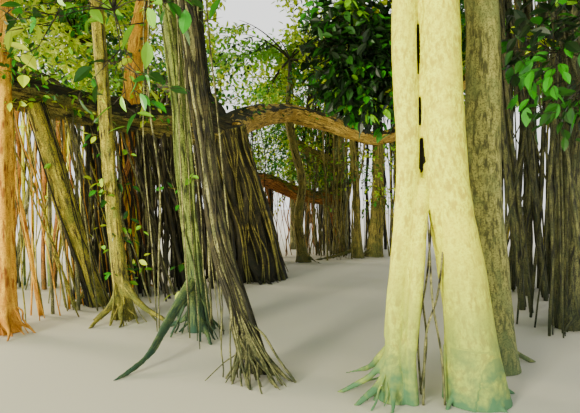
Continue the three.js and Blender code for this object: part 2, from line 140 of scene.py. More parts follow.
def spaced(points, spacing):
    """A smooth curve through the points as places about a given distance apart."""
    curve = smooth_curve(points)
    length = np.linalg.norm(np.diff(curve, axis=0), axis=1).sum()
    return evenly(curve, np.linspace(0, 1, max(3, round(length / spacing))))


def across(axis, upright):
    """A direction square to each axis: level where the axis is upright, and upright where it
    isn't."""
    fixed = np.where(np.asarray(upright)[..., None], [1.0, 0.0, 0.0], [0.0, 0.0, 1.0])
    return unit(fixed - (fixed * axis).sum(-1, keepdims=True) * axis)


def framed(path):
    """For each place on a path: its direction, two directions square to it, and how far along
    it stands."""
    ahead = unit(np.gradient(path, axis=0))
    chord = unit(path[-1] - path[0])
    side = across(ahead, np.full(len(path), abs(chord[2]) > STEEP))
    steps = np.linalg.norm(np.diff(path, axis=0), axis=1)
    along = np.concatenate([[0], np.cumsum(steps)])
    return ahead, side, np.cross(ahead, side), along


print("places 10 cm apart on a metre:", len(spaced([(0, 0, 0), (0, 0, 1)], 0.1)))

# %% [markdown]
# A limb is a round profile carried along its curve. The profile's radius changes with the place
# on the curve and with the turn round it, so ridges, flutes and lumps are real geometry. Both
# ends are closed with a fan of triangles.

# %% Tubes
def tube(path, radius, sides):
    """At place i and turn t the surface stands at path(i) + (side cos t + other sin t) times
    radius(i, t). The radius is one number for each place, or one for each place and side."""
    ahead, side, other, along = framed(path)
    turn = 2 * np.pi * np.arange(sides) / sides
    reach = np.broadcast_to(np.reshape(radius, (len(path), -1)), (len(path), sides))
    right, up = reach * np.cos(turn), reach * np.sin(turn)
    rings = path[:, None] + side[:, None] * right[..., None] + other[:, None] * up[..., None]
    grain = np.stack([right, up, np.broadcast_to(along[:, None], reach.shape)], axis=-1)
    number = np.arange(len(path) * sides).reshape(len(path), sides)
    onward = np.roll(number, -1, axis=1)
    quads = np.stack([number[:-1], onward[:-1], onward[1:], number[1:]], axis=-1)
    foot, tip = number.size, number.size + 1
    fans = [
        np.stack([np.full(sides, foot), onward[0], number[0]], axis=1),
        np.stack([np.full(sides, tip), number[-1], onward[-1]], axis=1),
    ]
    ends = np.array([[0, 0, along[0]], [0, 0, along[-1]]])
    return {
        "places": np.vstack([rings.reshape(-1, 3), path[[0, -1]]]),
        "grain": np.vstack([grain.reshape(-1, 3), ends]),
        "quads": quads.reshape(-1, 4),
        "triangles": np.vstack(fans),
    }


sample = spaced([(0, 0, 0), (0, 0, 1)], 0.1)
sample = tube(sample, np.full(len(sample), 0.05), 8)
print("a tube of eight sides:", {key: len(rows) for key, rows in sample.items()})

# %% [markdown]
# Bark is never even, so its relief needs a random number that changes smoothly from place to
# place. Lattice noise gives that: each corner of a grid of unit cubes has a number hashed from
# where it is, and a point takes a smooth blend of the eight numbers round it.

# %% Lattice noise
HASH_STEPS = (73856093, 19349663, 83492791)  # a large odd number for each axis
HASH_SEED, HASH_MIX = 40503, 1274126177  # two more, which spread the seed's and the cell's bits
LOW_32_BITS, LOW_16_BITS, HALF_RANGE = 0xFFFFFFFF, 0xFFFF, 0x7FFF


def noise(places, seed):
    """A number from -1 to 1 at each place: the hashed numbers of the cube's corners, each
    weighed by the product over the three axes of t or 1 - t, with t eased by 3t^2 - 2t^3."""
    cell = np.floor(places).astype(np.int64)
    t = places - cell
    t = t * t * (3 - 2 * t)
    total = 0.0
    for corner in itertools.product((0, 1), repeat=3):
        at = cell + corner
        mixed = np.bitwise_xor.reduce(at * HASH_STEPS, axis=-1) ^ (seed * HASH_SEED)
        mixed = ((mixed ^ (mixed >> 13)) * HASH_MIX) & LOW_32_BITS
        value = ((mixed ^ (mixed >> 16)) & LOW_16_BITS) / HALF_RANGE - 1
        total = total + value * np.prod(np.where(corner, t, 1 - t), axis=-1)
    return total


print("noise range:", noise(np.random.default_rng(1).random((999, 3)) * 50, 1).round(2)[:4])

# %% [markdown]
# The limbs of this tree, in metres. points are places on the middle line, girth the thickness at
# both ends, and flare how much wider than that the foot is. Each surface root has its heading in
# degrees, its reach and the height at which it leaves the stem. strands is how many roots have
# grown together round the limb, thin how many thinner ones cling to it, carries names the mass
# of foliage at its tip, bark its finish, under that of its underside, under_to how far up the
# underside reaches, creepers the finish of the thin roots, and folds how deep its wrinkles are.

# %% The trunk's legs
TRUNK_LEGS = [
    dict(
        points=[(0, 0, -0.08), (-0.085, 0, 0.8), (-0.238, 0, 1.7), (-0.308, 0.02, 3.2),
                (-0.26, 0.16, 4.7)],
        girth=(0.36, 0.3), flare=0.6,
        roots=[(215, 0.38, 0.38), (300, 0.32, 0.3), (20, 0.4, 0.33)],
    ),
    dict(
        points=[(-0.665, 0, -0.08), (-0.645, 0, 0.7), (-0.585, 0, 1.4), (-0.558, 0, 1.85),
                (-0.581, 0.03, 3.2), (-0.33, 0.19, 4.6)],
        girth=(0.14, 0.225), flare=1.0,
        roots=[(118, 0.73, 0.48), (160, 0.47, 0.43), (200, 0.36, 0.33), (255, 0.3, 0.26)],
    ),
    dict(
        points=[(0.45, 0.76, -0.08), (0.375, 0.72, 0.9), (0.3, 0.68, 1.8), (0.225, 0.56, 3.5),
                (-0.18, 0.28, 4.7)],
        girth=(0.37, 0.26), flare=0.4,
        roots=[(20, 0.52, 0.4), (80, 0.56, 0.38)],
    ),
    dict(
        points=[(-0.435, -0.01, 1.76), (-0.466, -0.05, 1.5), (-0.49, -0.08, 1.2),
                (-0.522, -0.1, 0.8), (-0.552, -0.1, 0.35), (-0.53, -0.1, -0.08)],
        girth=(0.105, 0.085),
    ),
    dict(
        points=[(-0.45, 0.11, 1.65), (-0.45, 0.13, 2.6), (-0.44, 0.15, 3.6), (-0.33, 0.18, 4.6)],
        girth=(0.14, 0.22),
    ),
]
print("legs:", len(TRUNK_LEGS))

# %% Pillars that carry boughs, and the boughs from the trunk's fork
LIMBS = {
    "pillar_great": dict(
        points=[(-2.35, 6.35, -0.08), (-2.4, 6.12, 0.9), (-2.53, 5.8, 1.8), (-2.7, 5.42, 2.98)],
        girth=(1.18, 0.67), flare=0.35, strands=22, thin=50, bark="dark", creepers="moss",
        roots=[(250, 1.25, 0.52), (300, 1.05, 0.48), (200, 1.15, 0.52)],
    ),
    "pillar_rear_right": dict(
        points=[(0, 10.9, -0.06), (0.03, 10.88, 1.5), (-0.06, 10.84, 3.6), (-0.05, 10.5, 6.7)],
        girth=(0.38, 0.24), flare=0.45, strands=7, bark="grey",
        roots=[(240, 0.62, 0.33), (300, 0.56, 0.33)], carries="foliage_mid_4",
    ),
    "bough_front": dict(
        points=[(-0.26, 0.16, 4.55), (-0.7, -0.8, 5.1), (-1.2, -2.4, 5.5), (-1.4, -3.6, 5.8)],
        girth=(0.36, 0.22), bark="dark", carries="foliage_rim_5",
    ),
    "bough_right": dict(
        points=[(-0.26, 0.16, 4.6), (1.2, -0.1, 5.15), (2.9, -0.7, 5.45), (4.2, -1.3, 5.8)],
        girth=(0.36, 0.22), bark="dark", carries="foliage_rim_4",
    ),
    "bough_right_rear": dict(
        points=[(-0.2, 0.25, 4.65), (0.6, 2.1, 5.15), (2.64, 4.8, 5.35), (4.5, 4.9, 5.5),
                (6.5, 4.6, 5.8)],
        girth=(0.38, 0.23), bark="dark", carries="foliage_rim_3",
    ),
    "bough_over_path": dict(
        points=[(-0.28, 0.18, 4.6), (-1.5, 1.2, 5.5), (-3.25, 2.4, 6.25), (-4.4, 3, 6.5),
                (-5.7, 3.45, 7.3)],
        girth=(0.33, 0.2), bark="dark", carries="foliage_mid_2",
    ),
    "bough_mid_front": dict(
        points=[(-0.27, 0.15, 4.7), (-0.9, -0.1, 6), (-1.8, -0.4, 7.1), (-2.15, -0.55, 7.7)],
        girth=(0.28, 0.18), bark="dark", carries="foliage_mid_1",
    ),
    "bough_mid_right": dict(
        points=[(-0.23, 0.2, 4.65), (1, 1.15, 5.05), (1.95, 2.08, 5.5), (2.7, 2.3, 6.7),
                (3, 2.2, 7.7)],
        girth=(0.34, 0.19), bark="dark", carries="foliage_mid_5",
    ),
    "bough_top": dict(
        points=[(-0.26, 0.22, 4.7), (-0.4, 0.9, 6.5), (-0.2, 2, 8), (-0.05, 2.8, 9.2)],
        girth=(0.33, 0.19), bark="dark", carries="foliage_top_right",
    ),
}

# %% Boughs that arch over the path and away from it
LIMBS |= {
    "bough_left": dict(
        points=[(-2.68, 5.47, 2.82), (-3.34, 5.2, 2.962), (-4.252, 4.6, 3.03), (-5.08, 3.3, 3.06),
                (-5.592, 2.2, 3.24), (-6.5, 0.5, 4.5), (-7.3, -0.9, 5.6)],
        girth=(0.6, 0.24), strands=8, bark="dark", under="moss", carries="foliage_rim_6",
    ),
    "bough_arch": dict(
        points=[(-2.68, 5.54, 2.84), (-2.56, 6.6, 3.22), (-1.552, 8.9, 3.819), (-0.569, 9.3, 3.64),
                (0.186, 9.6, 3.395), (1.1, 10, 3.33), (2.9, 10.5, 4.4), (4.1, 10.7, 5.6)],
        girth=(0.58, 0.25), bark="dark", under="amber", under_to=0.65, carries="foliage_rim_2",
    ),
    "bough_low": dict(
        points=[(-2.5, 5.95, 2.06), (-2.7, 8, 2.08), (-2.06, 10, 2.11), (-1.214, 10.33, 1.76),
                (0, 10.88, 1.6)],
        girth=(0.42, 0.33), bark="moss", under="red", under_to=0.4,
    ),
    "bough_rear": dict(
        points=[(0, 10.88, 2.45), (-0.63, 10.5, 2.85), (-1.297, 10.7, 3.25), (-1.5, 12.1, 4.4),
                (-1.5, 12.9, 5.5)],
        girth=(0.33, 0.22), bark="moss", carries="foliage_rim_1",
    ),
    "bough_rising": dict(
        points=[(-4.252, 4.6, 3), (-4.12, 4.47, 3.9), (-3.919, 4.4, 4.96), (-3.3, 4.7, 7),
                (-2.95, 5.1, 8.6)],
        girth=(0.29, 0.2), bark="orange", carries="foliage_top_left",
    ),
    "bough_far_left": dict(
        points=[(-4.252, 4.6, 3.03), (-5, 5.15, 3.2), (-7, 5.2, 4.3), (-9.1, 4.7, 5.6)],
        girth=(0.38, 0.22), bark="dark", carries="foliage_rim_7",
    ),
    "bough_rear_left": dict(
        points=[(-2.7, 5.5, 2.78), (-3.3, 6.7, 3.7), (-5, 8.8, 4.7), (-6.9, 10.1, 5.7)],
        girth=(0.42, 0.22), bark="dark", carries="foliage_rim_8",
    ),
    "bough_mid_left": dict(
        points=[(-3.3, 6.7, 3.7), (-3.5, 7.2, 4.9), (-3.7, 8, 6.5), (-3.78, 8.6, 7.6)],
        girth=(0.26, 0.18), bark="dark", carries="foliage_mid_3",
    ),
}

# %% Pillars to the left of the path
LIMBS |= {
    "pillar_smooth_left": dict(
        points=[(-2.607, 2.15, -0.06), (-2.69, 2.18, 0.7), (-2.777, 2.2, 1.6),
                (-2.888, 2.25, 2.85), (-3.037, 2.3, 4.12), (-3.25, 2.4, 6.25)],
        girth=(0.205, 0.14), flare=0.65, strands=4, thin=6, folds=0.0015, bark="olive",
        roots=[(255, 1.85, 0.62), (290, 0.7, 0.42), (160, 0.5, 0.3)],
    ),
    "pillar_bundle": dict(
        points=[(-1.76, 0.65, -0.06), (-1.975, 0.8, 0.56), (-2.18, 0.95, 1.15),
                (-2.445, 1.25, 2.65), (-2.655, 1.5, 3.8), (-3.15, 2.33, 5.3)],
        girth=(0.15, 0.19), flare=0.35, strands=7, thin=20, bark="grey", creepers="dark",
        roots=[(235, 0.43, 0.42), (262, 0.48, 0.38), (290, 0.47, 0.4), (318, 0.42, 0.42)],
    ),
    "pillar_yellow": dict(
        points=[(-3.737, 2.78, -0.06), (-3.84, 2.8, 0.8), (-3.939, 2.85, 1.6),
                (-4.067, 2.9, 2.98), (-4.202, 3, 4.4), (-4.4, 3, 6.5)],
        girth=(0.195, 0.15), flare=0.75, strands=5, folds=0.0015, bark="yellow",
        roots=[(245, 0.65, 0.42), (280, 0.56, 0.33), (330, 0.9, 0.52)],
    ),
    "pillar_far_left": dict(
        points=[(-4.954, 2.06, -0.06), (-5, 2.13, 0.9), (-5.09, 2.29, 2), (-5.185, 2.465, 3.1),
                (-5.26, 2.7, 4.5), (-5.4, 3.3, 7.05)],
        girth=(0.22, 0.16), flare=0.6, strands=5, folds=0.0015, bark="orange",
        roots=[(250, 0.48, 0.42), (300, 0.52, 0.42), (350, 0.42, 0.33)],
    ),
    "pillar_leaning": dict(
        points=[(-4.388, 3.6, -0.06), (-4.7, 3.33, 1.3), (-5.06, 3.01, 2.95)],
        girth=(0.25, 0.23), flare=0.25, strands=5, thin=13, bark="yellow", creepers="dark",
        roots=[(300, 0.42, 0.26), (200, 0.42, 0.42)],
    ),
    "pillar_leaning_thin": dict(
        points=[(-4.57, 4.65, -0.06), (-4.83, 4.35, 1.4), (-5, 3.93, 2.96)],
        girth=(0.13, 0.11), flare=0.2, strands=4, bark="dark",
    ),
    "pillar_pale": dict(
        points=[(-5, 5.3, -0.06), (-5.02, 5.2, 1.5), (-4.93, 5.14, 3.2)],
        girth=(0.19, 0.15), flare=0.4, strands=4, bark="pale", roots=[(270, 0.38, 0.26)],
    ),
    "pillar_orange": dict(
        points=[(-4.3, 5.3, -0.06), (-4.42, 5, 1.5), (-4.33, 4.69, 3)],
        girth=(0.27, 0.23), flare=0.3, strands=6, thin=8, bark="orange",
        roots=[(230, 0.43, 0.3), (330, 0.43, 0.3)],
    ),
    "pillar_strands": dict(
        points=[(-3.5, 5.35, -0.06), (-3.64, 5.25, 1.5), (-3.74, 4.99, 2.99)],
        girth=(0.23, 0.19), flare=0.3, strands=8, thin=12, bark="dark",
    ),
}

# %% Pillars behind and to the right
LIMBS |= {
    "pillar_middle": dict(
        points=[(-1.15, 8.9, -0.06), (-1.29, 8.85, 1.15), (-1.18, 8.94, 2.05),
                (-1.4, 8.92, 2.95), (-1.56, 8.89, 3.8)],
        girth=(0.22, 0.19), flare=0.9, strands=5, bark="moss",
        roots=[(250, 0.52, 0.3), (330, 0.56, 0.33)],
    ),
    "pillar_right": dict(
        points=[(0.4, 9.8, -0.06), (0.33, 9.76, 1.7), (0.19, 9.6, 3.4)],
        girth=(0.21, 0.19), flare=0.5, strands=4, bark="moss", roots=[(200, 1.5, 0.26)],
    ),
    "pillar_stub": dict(
        points=[(0.886, 10.2, -0.06), (0.96, 10.15, 1.7), (1.01, 9.96, 3.3)],
        girth=(0.34, 0.26), flare=0.5, strands=6, bark="moss", roots=[(215, 0.7, 0.38)],
    ),
    "pillar_low_bough": dict(
        points=[(-2.04, 10.05, -0.06), (-2.06, 10.03, 0.9), (-2.06, 10, 2.12)],
        girth=(0.2, 0.15), flare=0.5, strands=4, bark="dark", roots=[(250, 0.38, 0.24)],
    ),
    "pillar_curtain": dict(
        points=[(-2.33, 8.9, -0.06), (-2.44, 8.85, 0.9), (-2.48, 8.8, 2.12)],
        girth=(0.42, 0.26), flare=0.4, strands=12, thin=20, bark="dark",
    ),
    "pillar_rear": dict(
        points=[(-1.35, 12.3, -0.06), (-1.42, 12.28, 2), (-1.5, 12.2, 4.5)],
        girth=(0.24, 0.19), flare=0.4, strands=4, bark="grey",
    ),
    "pillar_rear_left": dict(
        points=[(-5.25, 8.9, -0.06), (-5.2, 8.85, 2.4), (-5.05, 8.85, 4.7)],
        girth=(0.26, 0.19), flare=0.4, strands=4, bark="grey",
    ),
    "pillar_outer_left": dict(
        points=[(-7.1, 5.35, -0.06), (-7.08, 5.3, 2.2), (-7, 5.21, 4.3)],
        girth=(0.23, 0.18), flare=0.4, strands=4, bark="yellow",
    ),
    "pillar_back_thin": dict(
        points=[(2.736, 4.9, -0.06), (2.72, 4.85, 2.5), (2.64, 4.79, 5.3)],
        girth=(0.17, 0.13), flare=0.4, strands=4, bark="dusk",
    ),
    "pillar_back_pair": dict(
        points=[(3, 4.6, -0.06), (3.05, 4.62, 2.5), (3.35, 4.88, 5.4)],
        girth=(0.2, 0.15), flare=0.4, strands=4, bark="dusk",
    ),
    "pillar_right_edge": dict(
        points=[(2.12, 2.3, -0.06), (2.09, 2.26, 2.5), (1.95, 2.09, 5.45)],
        girth=(0.43, 0.3), flare=0.35, strands=9, thin=12, bark="dusk",
        roots=[(230, 0.62, 0.38), (310, 0.56, 0.33)],
    ),
}

# %% Short boughs that reach down to the leaves beside the path
LIMBS |= {
    "spur_left": dict(
        points=[(-3.03, 2.3, 4.05), (-3.08, 1.5, 4.25), (-3.05, 0.8, 4.15), (-2.95, 0.35, 3.85)],
        girth=(0.11, 0.07), bark="dark", carries="foliage_low_left",
    ),
    "spur_rear": dict(
        points=[(-0.3, 0.25, 4.15), (-0.65, 1.3, 4.7), (-0.68, 2.3, 4.9), (-0.52, 2.9, 4.5)],
        girth=(0.15, 0.08), bark="dark", carries="foliage_low_path",
    ),
    "spur_right": dict(
        points=[(-0.05, 0.4, 3.9), (0.45, 0.3, 4.1), (0.9, 0.35, 4.05), (1.15, 0.48, 3.75)],
        girth=(0.13, 0.08), bark="dark", carries="foliage_low_right",
    ),
}
print("limbs:", len(LIMBS) + 1)

# %% [markdown]
# Colours are given as sRGB hex values, as they would be picked from a swatch, and Blender wants
# them linear, so one function turns them. Another adds a shader node, sets its properties and
# fills its sockets: a value that is itself a socket is linked.

# %% Colour and node helpers
def linear(code):
    """An sRGB hex colour as linear red, green, blue and alpha."""
    shares = [int(code[i:i + 2], 16) / 255 for i in (1, 3, 5)]
    return [s / 12.92 if s <= 0.04045 else ((s + 0.055) / 1.055) ** 2.4 for s in shares] + [1.0]


def add(tree, kind, settings=None, sockets=None):
    """A new node with its settings, and its sockets set to values or linked to outputs."""
    node = tree.nodes.new(kind)
    for name, value in (settings or {}).items():
        setattr(node, name, value)
    for name, value in (sockets or {}).items():
        if isinstance(value, bpy.types.NodeSocket):
            tree.links.new(value, node.inputs[name])
        else:
            node.inputs[name].default_value = value
    return node


def started(name, **surface):
    """A new material and its surface shader, with the shader's sockets set."""
    material = bpy.data.materials.new(name)
    material.use_nodes = True
    shader = material.node_tree.nodes["Principled BSDF"]
    for socket, value in surface.items():
        shader.inputs[socket.replace("_", " ")].default_value = value
    return material, material.node_tree, shader


# %% [markdown]
# Fig bark is thin and fairly smooth. Weather bleaches it to cream, algae turn it green near
# moist ground, and on younger aerial roots it stays ochre or reddish. Some barks here are darker
# copies for limbs in shade, as painted shade, and one is paler for a bough's underside, as painted
# light. One recipe covers them all: a light and a dark colour mixed by cracks, which are noise
# drawn out along the grain, then fine specks of lichen and pores, blotches of a third colour, and
# a foot that is greener and darker near the ground and fades with height, which is algae and
# painted shade. Cracks and specks on real fig bark are 2 to 5 mm across, too fine to show from
# the path, so they are drawn about 15 mm apart. The surface is matt, with the roughness of dry
# bark.

# %% Bark
CRACK_SPACING, SPECK_SPACING, BLOTCH = 0.016, 0.008, 0.22  # metres from one to the next
CRACK_STRETCH = 7  # how much longer than wide a crack is
CRACKED, SPECKED, BLOTCHED = (0.4, 0.56), (0.5, 0.6), (0.46, 0.66)  # noise where each sets in
DAMP_AND_SHADE_PATCHES, LEAST_DAMP_AND_SHADE = (0.3, 0.6), 0.6  # noise that makes the green foot uneven, to 0.6 of it
BUMP_STRENGTH = 0.7


def bark(name, light, dark, blotch, foot, crack_depth=0.006, stretch=CRACK_STRETCH, damp_and_shade=0.75,
         fade=0.8, specks=0.75):
    """Bark that is mixed from a light and a dark colour along the grain, with a share of dark
    specks, with blotches, and with a foot that is greener near the ground, as algae and painted
    shade, whose green has faded at a height in metres."""
    material, tree, shader = started(name, Roughness=0.82, IOR=1.45)
    grain = add(tree, "ShaderNodeAttribute", {"attribute_name": "grain"}).outputs["Vector"]
    fine = 1 / CRACK_SPACING
    drawn = add(tree, "ShaderNodeMapping", None, {
        "Vector": grain, "Scale": (fine, fine, fine / stretch)})
    cracks = add(tree, "ShaderNodeTexNoise", None, {
        "Vector": drawn.outputs["Vector"], "Scale": 0.5, "Detail": 4.0, "Roughness": 0.62})
    patches = add(tree, "ShaderNodeTexNoise", None, {
        "Vector": grain, "Scale": 1 / BLOTCH, "Detail": 3.0, "Roughness": 0.6})
    cracked = add(tree, "ShaderNodeMapRange", None, {
        "Value": cracks.outputs[0], "From Min": CRACKED[0], "From Max": CRACKED[1]})
    pores = add(tree, "ShaderNodeTexNoise", None, {
        "Vector": grain, "Scale": 1 / SPECK_SPACING / 2, "Detail": 2.0, "Roughness": 0.7})
    specked = add(tree, "ShaderNodeMapRange", None, {
        "Value": pores.outputs[0], "From Min": SPECKED[0], "From Max": SPECKED[1],
        "To Max": specks})
    patched = add(tree, "ShaderNodeMapRange", None, {
        "Value": patches.outputs[0], "From Min": BLOTCHED[0], "From Max": BLOTCHED[1]})
    base = add(tree, "ShaderNodeMix", {"data_type": "RGBA"}, {
        "Factor": cracked.outputs[0], 6: linear(dark), 7: linear(light)})
    blotched = add(tree, "ShaderNodeMix", {"data_type": "RGBA"}, {
        "Factor": patched.outputs[0], 6: base.outputs[2], 7: linear(blotch)})
    pored = add(tree, "ShaderNodeMix", {"data_type": "RGBA"}, {
        "Factor": specked.outputs[0], 6: blotched.outputs[2], 7: linear(dark)})
    place = add(tree, "ShaderNodeTexCoord").outputs["Object"]
    height = add(tree, "ShaderNodeSeparateXYZ", None, {"Vector": place}).outputs["Z"]
    # Greener and darker towards the ground: algae, and painted shade.
    foot_damp_and_shade = add(tree, "ShaderNodeMapRange", None, {
        "Value": height, "From Min": 0.0, "From Max": fade, "To Min": damp_and_shade, "To Max": 0.0})
    uneven = add(tree, "ShaderNodeMapRange", None, {
        "Value": patches.outputs[0], "From Min": DAMP_AND_SHADE_PATCHES[0], "From Max": DAMP_AND_SHADE_PATCHES[1],
        "To Min": LEAST_DAMP_AND_SHADE})
    patchy_damp_and_shade = add(tree, "ShaderNodeMath", {"operation": "MULTIPLY"}, {
        0: foot_damp_and_shade.outputs[0], 1: uneven.outputs[0]})
    green = add(tree, "ShaderNodeMix", {"data_type": "RGBA"}, {
        "Factor": patchy_damp_and_shade.outputs[0], 6: pored.outputs[2], 7: linear(foot)})
    tree.links.new(green.outputs[2], shader.inputs["Base Color"])
    raised = add(tree, "ShaderNodeBump", None, {
        "Height": cracks.outputs[0], "Strength": BUMP_STRENGTH, "Distance": crack_depth})
    tree.links.new(raised.outputs["Normal"], shader.inputs["Normal"])
    return material


BARKS = {
    "pale": bark("weathered_fig_bark", "#f8ff34", "#c8bc2c", "#f0ee30", "#46704c", 0.002, 2.5,
                 damp_and_shade=1.15, fade=1.35, specks=0.45),
    # A darker copy of the trunk's bark for the leg in shade: lichen, and painted shade.
    "shade": bark("lichened_painted_shade_fig_bark", "#a3a052", "#4a4a22", "#7c8446", "#3f5a3c", 0.004, 4),
    "olive": bark("algae_green_fig_bark", "#98a546", "#20260e", "#5e702a", "#24483a",
                  damp_and_shade=1.0, fade=1.3),
    "yellow": bark("ochre_aerial_root_bark", "#c8b83a", "#342c0e", "#80842a", "#4a5224"),
    "orange": bark("rusty_aerial_root_bark", "#ffc838", "#8a4c10", "#e8a824", "#b07424",
                   specks=0.5),
    # For the underside of the arching bough only, as painted light.
    "amber": bark("painted_light_amber_fig_bark", "#f6cc58", "#584418", "#b8902e", "#5a5424"),
    "red": bark("reddish_fig_bark", "#d8903c", "#3c200c", "#94602a", "#4a4a24"),
    "moss": bark("mossy_fig_bark", "#a39440", "#1f1a08", "#5e6224", "#3f4a24"),
    "grey": bark("dry_grey_fig_bark", "#aca668", "#16140a", "#66683a", "#2f3a24"),
    "dusk": bark("shaded_fig_bark", "#66663a", "#0e0e08", "#363e22", "#222e1c"),
    "dark": bark("old_dark_fig_bark", "#4c4422", "#070603", "#1e1f0d", "#0e120a",
                 damp_and_shade=0.95, fade=1.4),
    # Near-black bark for the wood at the back of the trunk's slit, as painted shade.
    "deep": bark("painted_shade_slit_fig_bark", "#1c150a", "#060402", "#120f08", "#10140c"),
}
print("barks:", sorted(BARKS))

# %% [markdown]
# Each finished mesh becomes an object that rides on the tree's one body and stands for its
# solids. Bark that reaches the ground is cut off level there, and the cut is closed. Roots that
# have no solid of their own stand for none.

# %% Placing a piece
CUT_REACH = 1e-5  # metres within which a vertex counts as on the ground


def cut_at_ground(mesh):
    """Cuts a mesh off at the ground and closes the cut."""
    cut = bmesh.new()
    cut.from_mesh(mesh)
    everything = cut.verts[:] + cut.edges[:] + cut.faces[:]
    bmesh.ops.bisect_plane(cut, geom=everything, dist=CUT_REACH, plane_co=(0, 0, 0),
                           plane_no=(0, 0, 1), clear_inner=True)
    rim = [edge for edge in cut.edges if edge.is_boundary]
    bmesh.ops.holes_fill(cut, edges=rim, sides=0)
    bmesh.ops.triangulate(cut, faces=[face for face in cut.faces if len(face.verts) > 4])
    cut.to_mesh(mesh)
    cut.free()


def place_piece(name, mesh, materials, nodes, rounded=True):
    """Puts a mesh into the scene as a piece that stands for some of the solids."""
    for material in materials:
        mesh.materials.append(material)
    mesh.polygons.foreach_set("use_smooth", np.full(len(mesh.polygons), rounded))
    piece = bpy.data.objects.new(name, mesh)
    bpy.context.scene.collection.objects.link(piece)
    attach(piece, "root")
    if nodes:
        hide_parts(*nodes)


def place_roots(name, shape, finish, cut=True):
    """Puts loose roots of one bark into the scene, cut off at the ground if they pass it."""
    mesh = mesh_of(name, shape)
    if cut:
        cut_at_ground(mesh)
    place_piece(name, mesh, [BARKS[finish]], [])


# %% [markdown]
# A pillar isn't one stem: it is a bundle of roots that met and grew together, and that is what
# gives it ridges and folds. So a limb is made as a core with strands that wind slowly round it,
# each half sunk in the core, and surface roots that run down and away from its foot. A skin is
# then drawn over the lot with a voxel remesh, which welds them as growth does, and smoothed a
# little so that the welds look swollen instead of cut. Thinner roots that cling to a pillar stay
# tubes of their own, because the voxels are too coarse for them.

# %% The parts of a limb
FLARE_LEAST, FLARE_GIRTHS = 0.3, 1.2  # metres, and girths, over which a flare dies away
RING_STEP = 0.04
CORE_SHARE = 0.86  # of the girth that the core takes under its strands
STRAND_SHIFT, STRAND_TWIST, STRAND_WOBBLE = 0.25, 0.45, 0.55  # radians round the core
STRAND_FILL = (0.8, 1.5)  # a strand's thickness as a share of the space it has
STRAND_SWELL = 0.25  # of that, by which it swells and narrows
STRAND_MOST = 0.55  # of the core's radius that a strand may be thick
STRAND_OUT, STRAND_SUNK = 1.02, 0.75  # of the radius outwards, and of its thickness back in
WOBBLE_STEPS, WOBBLE_ROW = 0.9, 7.3  # noise steps to a metre, and from one strand to the next
SWOLLEN_STEPS, SWOLLEN_ROW = 2.5, 3.1
THIN_RADII = (0.006, 0.019)
THIN_WAVER, THIN_TURN, THIN_SWELL = 0.8, 0.7, 0.3  # radians, radians, share of its thickness
THIN_OUT, THIN_LIFT = (0.97, 1.12), 0.02  # radii, and metres more, that a thin root stands out
THIN_STEPS, THIN_ROW = 1.4, 4.7
SLIM_LIMB = 0.13  # the radius past which thin roots wind less
ROOT_MOST = 0.66  # of the stem's girth that a surface root may be thick
ROOT_LEAST, ROOT_GROWTH = 0.06, 0.09  # metres thick, and the more for each metre of reach
ROOT_STEP = RING_STEP * 0.7
ROOT_SINK = 0.2  # of its thickness that a surface root's tip lies under the ground
KNEE_OUT, KNEE_HEIGHT = 0.4, 0.4  # of the way to its tip, and of the height at which it leaves
MIDDLE_OUT, MIDDLE_HEIGHT = 0.75, 0.13
ROOT_WIND = 0.05  # of its reach that it winds aside
ROOT_TAPER = 0.65  # of its thickness that it loses on its way


def girth_along(path, spec):
    """Radius along a limb: an even taper, times 1 + flare * exp(-height / flare height)."""
    share = np.linspace(0, 1, len(path))
    length = np.linalg.norm(np.diff(path, axis=0), axis=1).sum()
    flare_share = max(FLARE_LEAST, spec["girth"][0] * FLARE_GIRTHS) / length
    taper = spec["girth"][0] + (spec["girth"][1] - spec["girth"][0]) * share
    return taper / 2 * (1 + spec.get("flare", 0) * np.exp(-share / flare_share))


def line_round(path, side, other, turn, out):
    """A line round a limb: its middle line + (side cos turn + other sin turn) times out."""
    return path + side * (np.cos(turn) * out)[:, None] + other * (np.sin(turn) * out)[:, None]


def strand_parts(path, radius, count, seed):
    """Strand k winds round the core at the turn k / count + a slow twist + a slow wobble. Its
    thickness is a share of the space it has, so neighbouring strands meet."""
    dice = np.random.default_rng(seed)
    _, side, other, along = framed(path)
    level = along * 0
    parts = []
    for k in range(count):
        where = np.stack([along * WOBBLE_STEPS, level, level + k * WOBBLE_ROW], axis=1)
        wobble = noise(where, seed)
        start = 2 * np.pi * k / count + dice.normal(0, STRAND_SHIFT)
        turn = start + STRAND_TWIST * along / (1 + along[-1]) + wobble * STRAND_WOBBLE
        where = np.stack([along * SWOLLEN_STEPS, level + k * SWOLLEN_ROW, level], axis=1)
        swell = noise(where, seed + 1)
        space = np.pi * radius / count
        thick = space * dice.uniform(*STRAND_FILL) * (1 + STRAND_SWELL * swell)
        thick = np.minimum(thick, radius * STRAND_MOST)
        out = radius * STRAND_OUT - thick * STRAND_SUNK
        parts.append((line_round(path, side, other, turn, out), thick))
    return parts


def thin_parts(path, radius, count, seed):
    """Thin roots that cling to a limb's surface: each winds a little round it at the limb's
    radius, by less on a thick limb, with a thickness of its own."""
    dice = np.random.default_rng(seed)
    _, side, other, along = framed(path)
    level = along * 0
    parts = []
    for k in range(count):
        where = np.stack([along * THIN_STEPS, level + k * THIN_ROW, level], axis=1)
        sway = noise(where, seed)
        winding = sway * THIN_WAVER + dice.normal(0, THIN_TURN) * along / along[-1]
        turn = dice.uniform(0, 2 * np.pi) + winding * np.minimum(1, SLIM_LIMB / radius)
        out = radius * dice.uniform(*THIN_OUT) + THIN_LIFT * np.abs(sway)
        thick = dice.uniform(*THIN_RADII) * (1 + THIN_SWELL * sway)
        parts.append((line_round(path, side, other, turn, out), thick))
    return parts


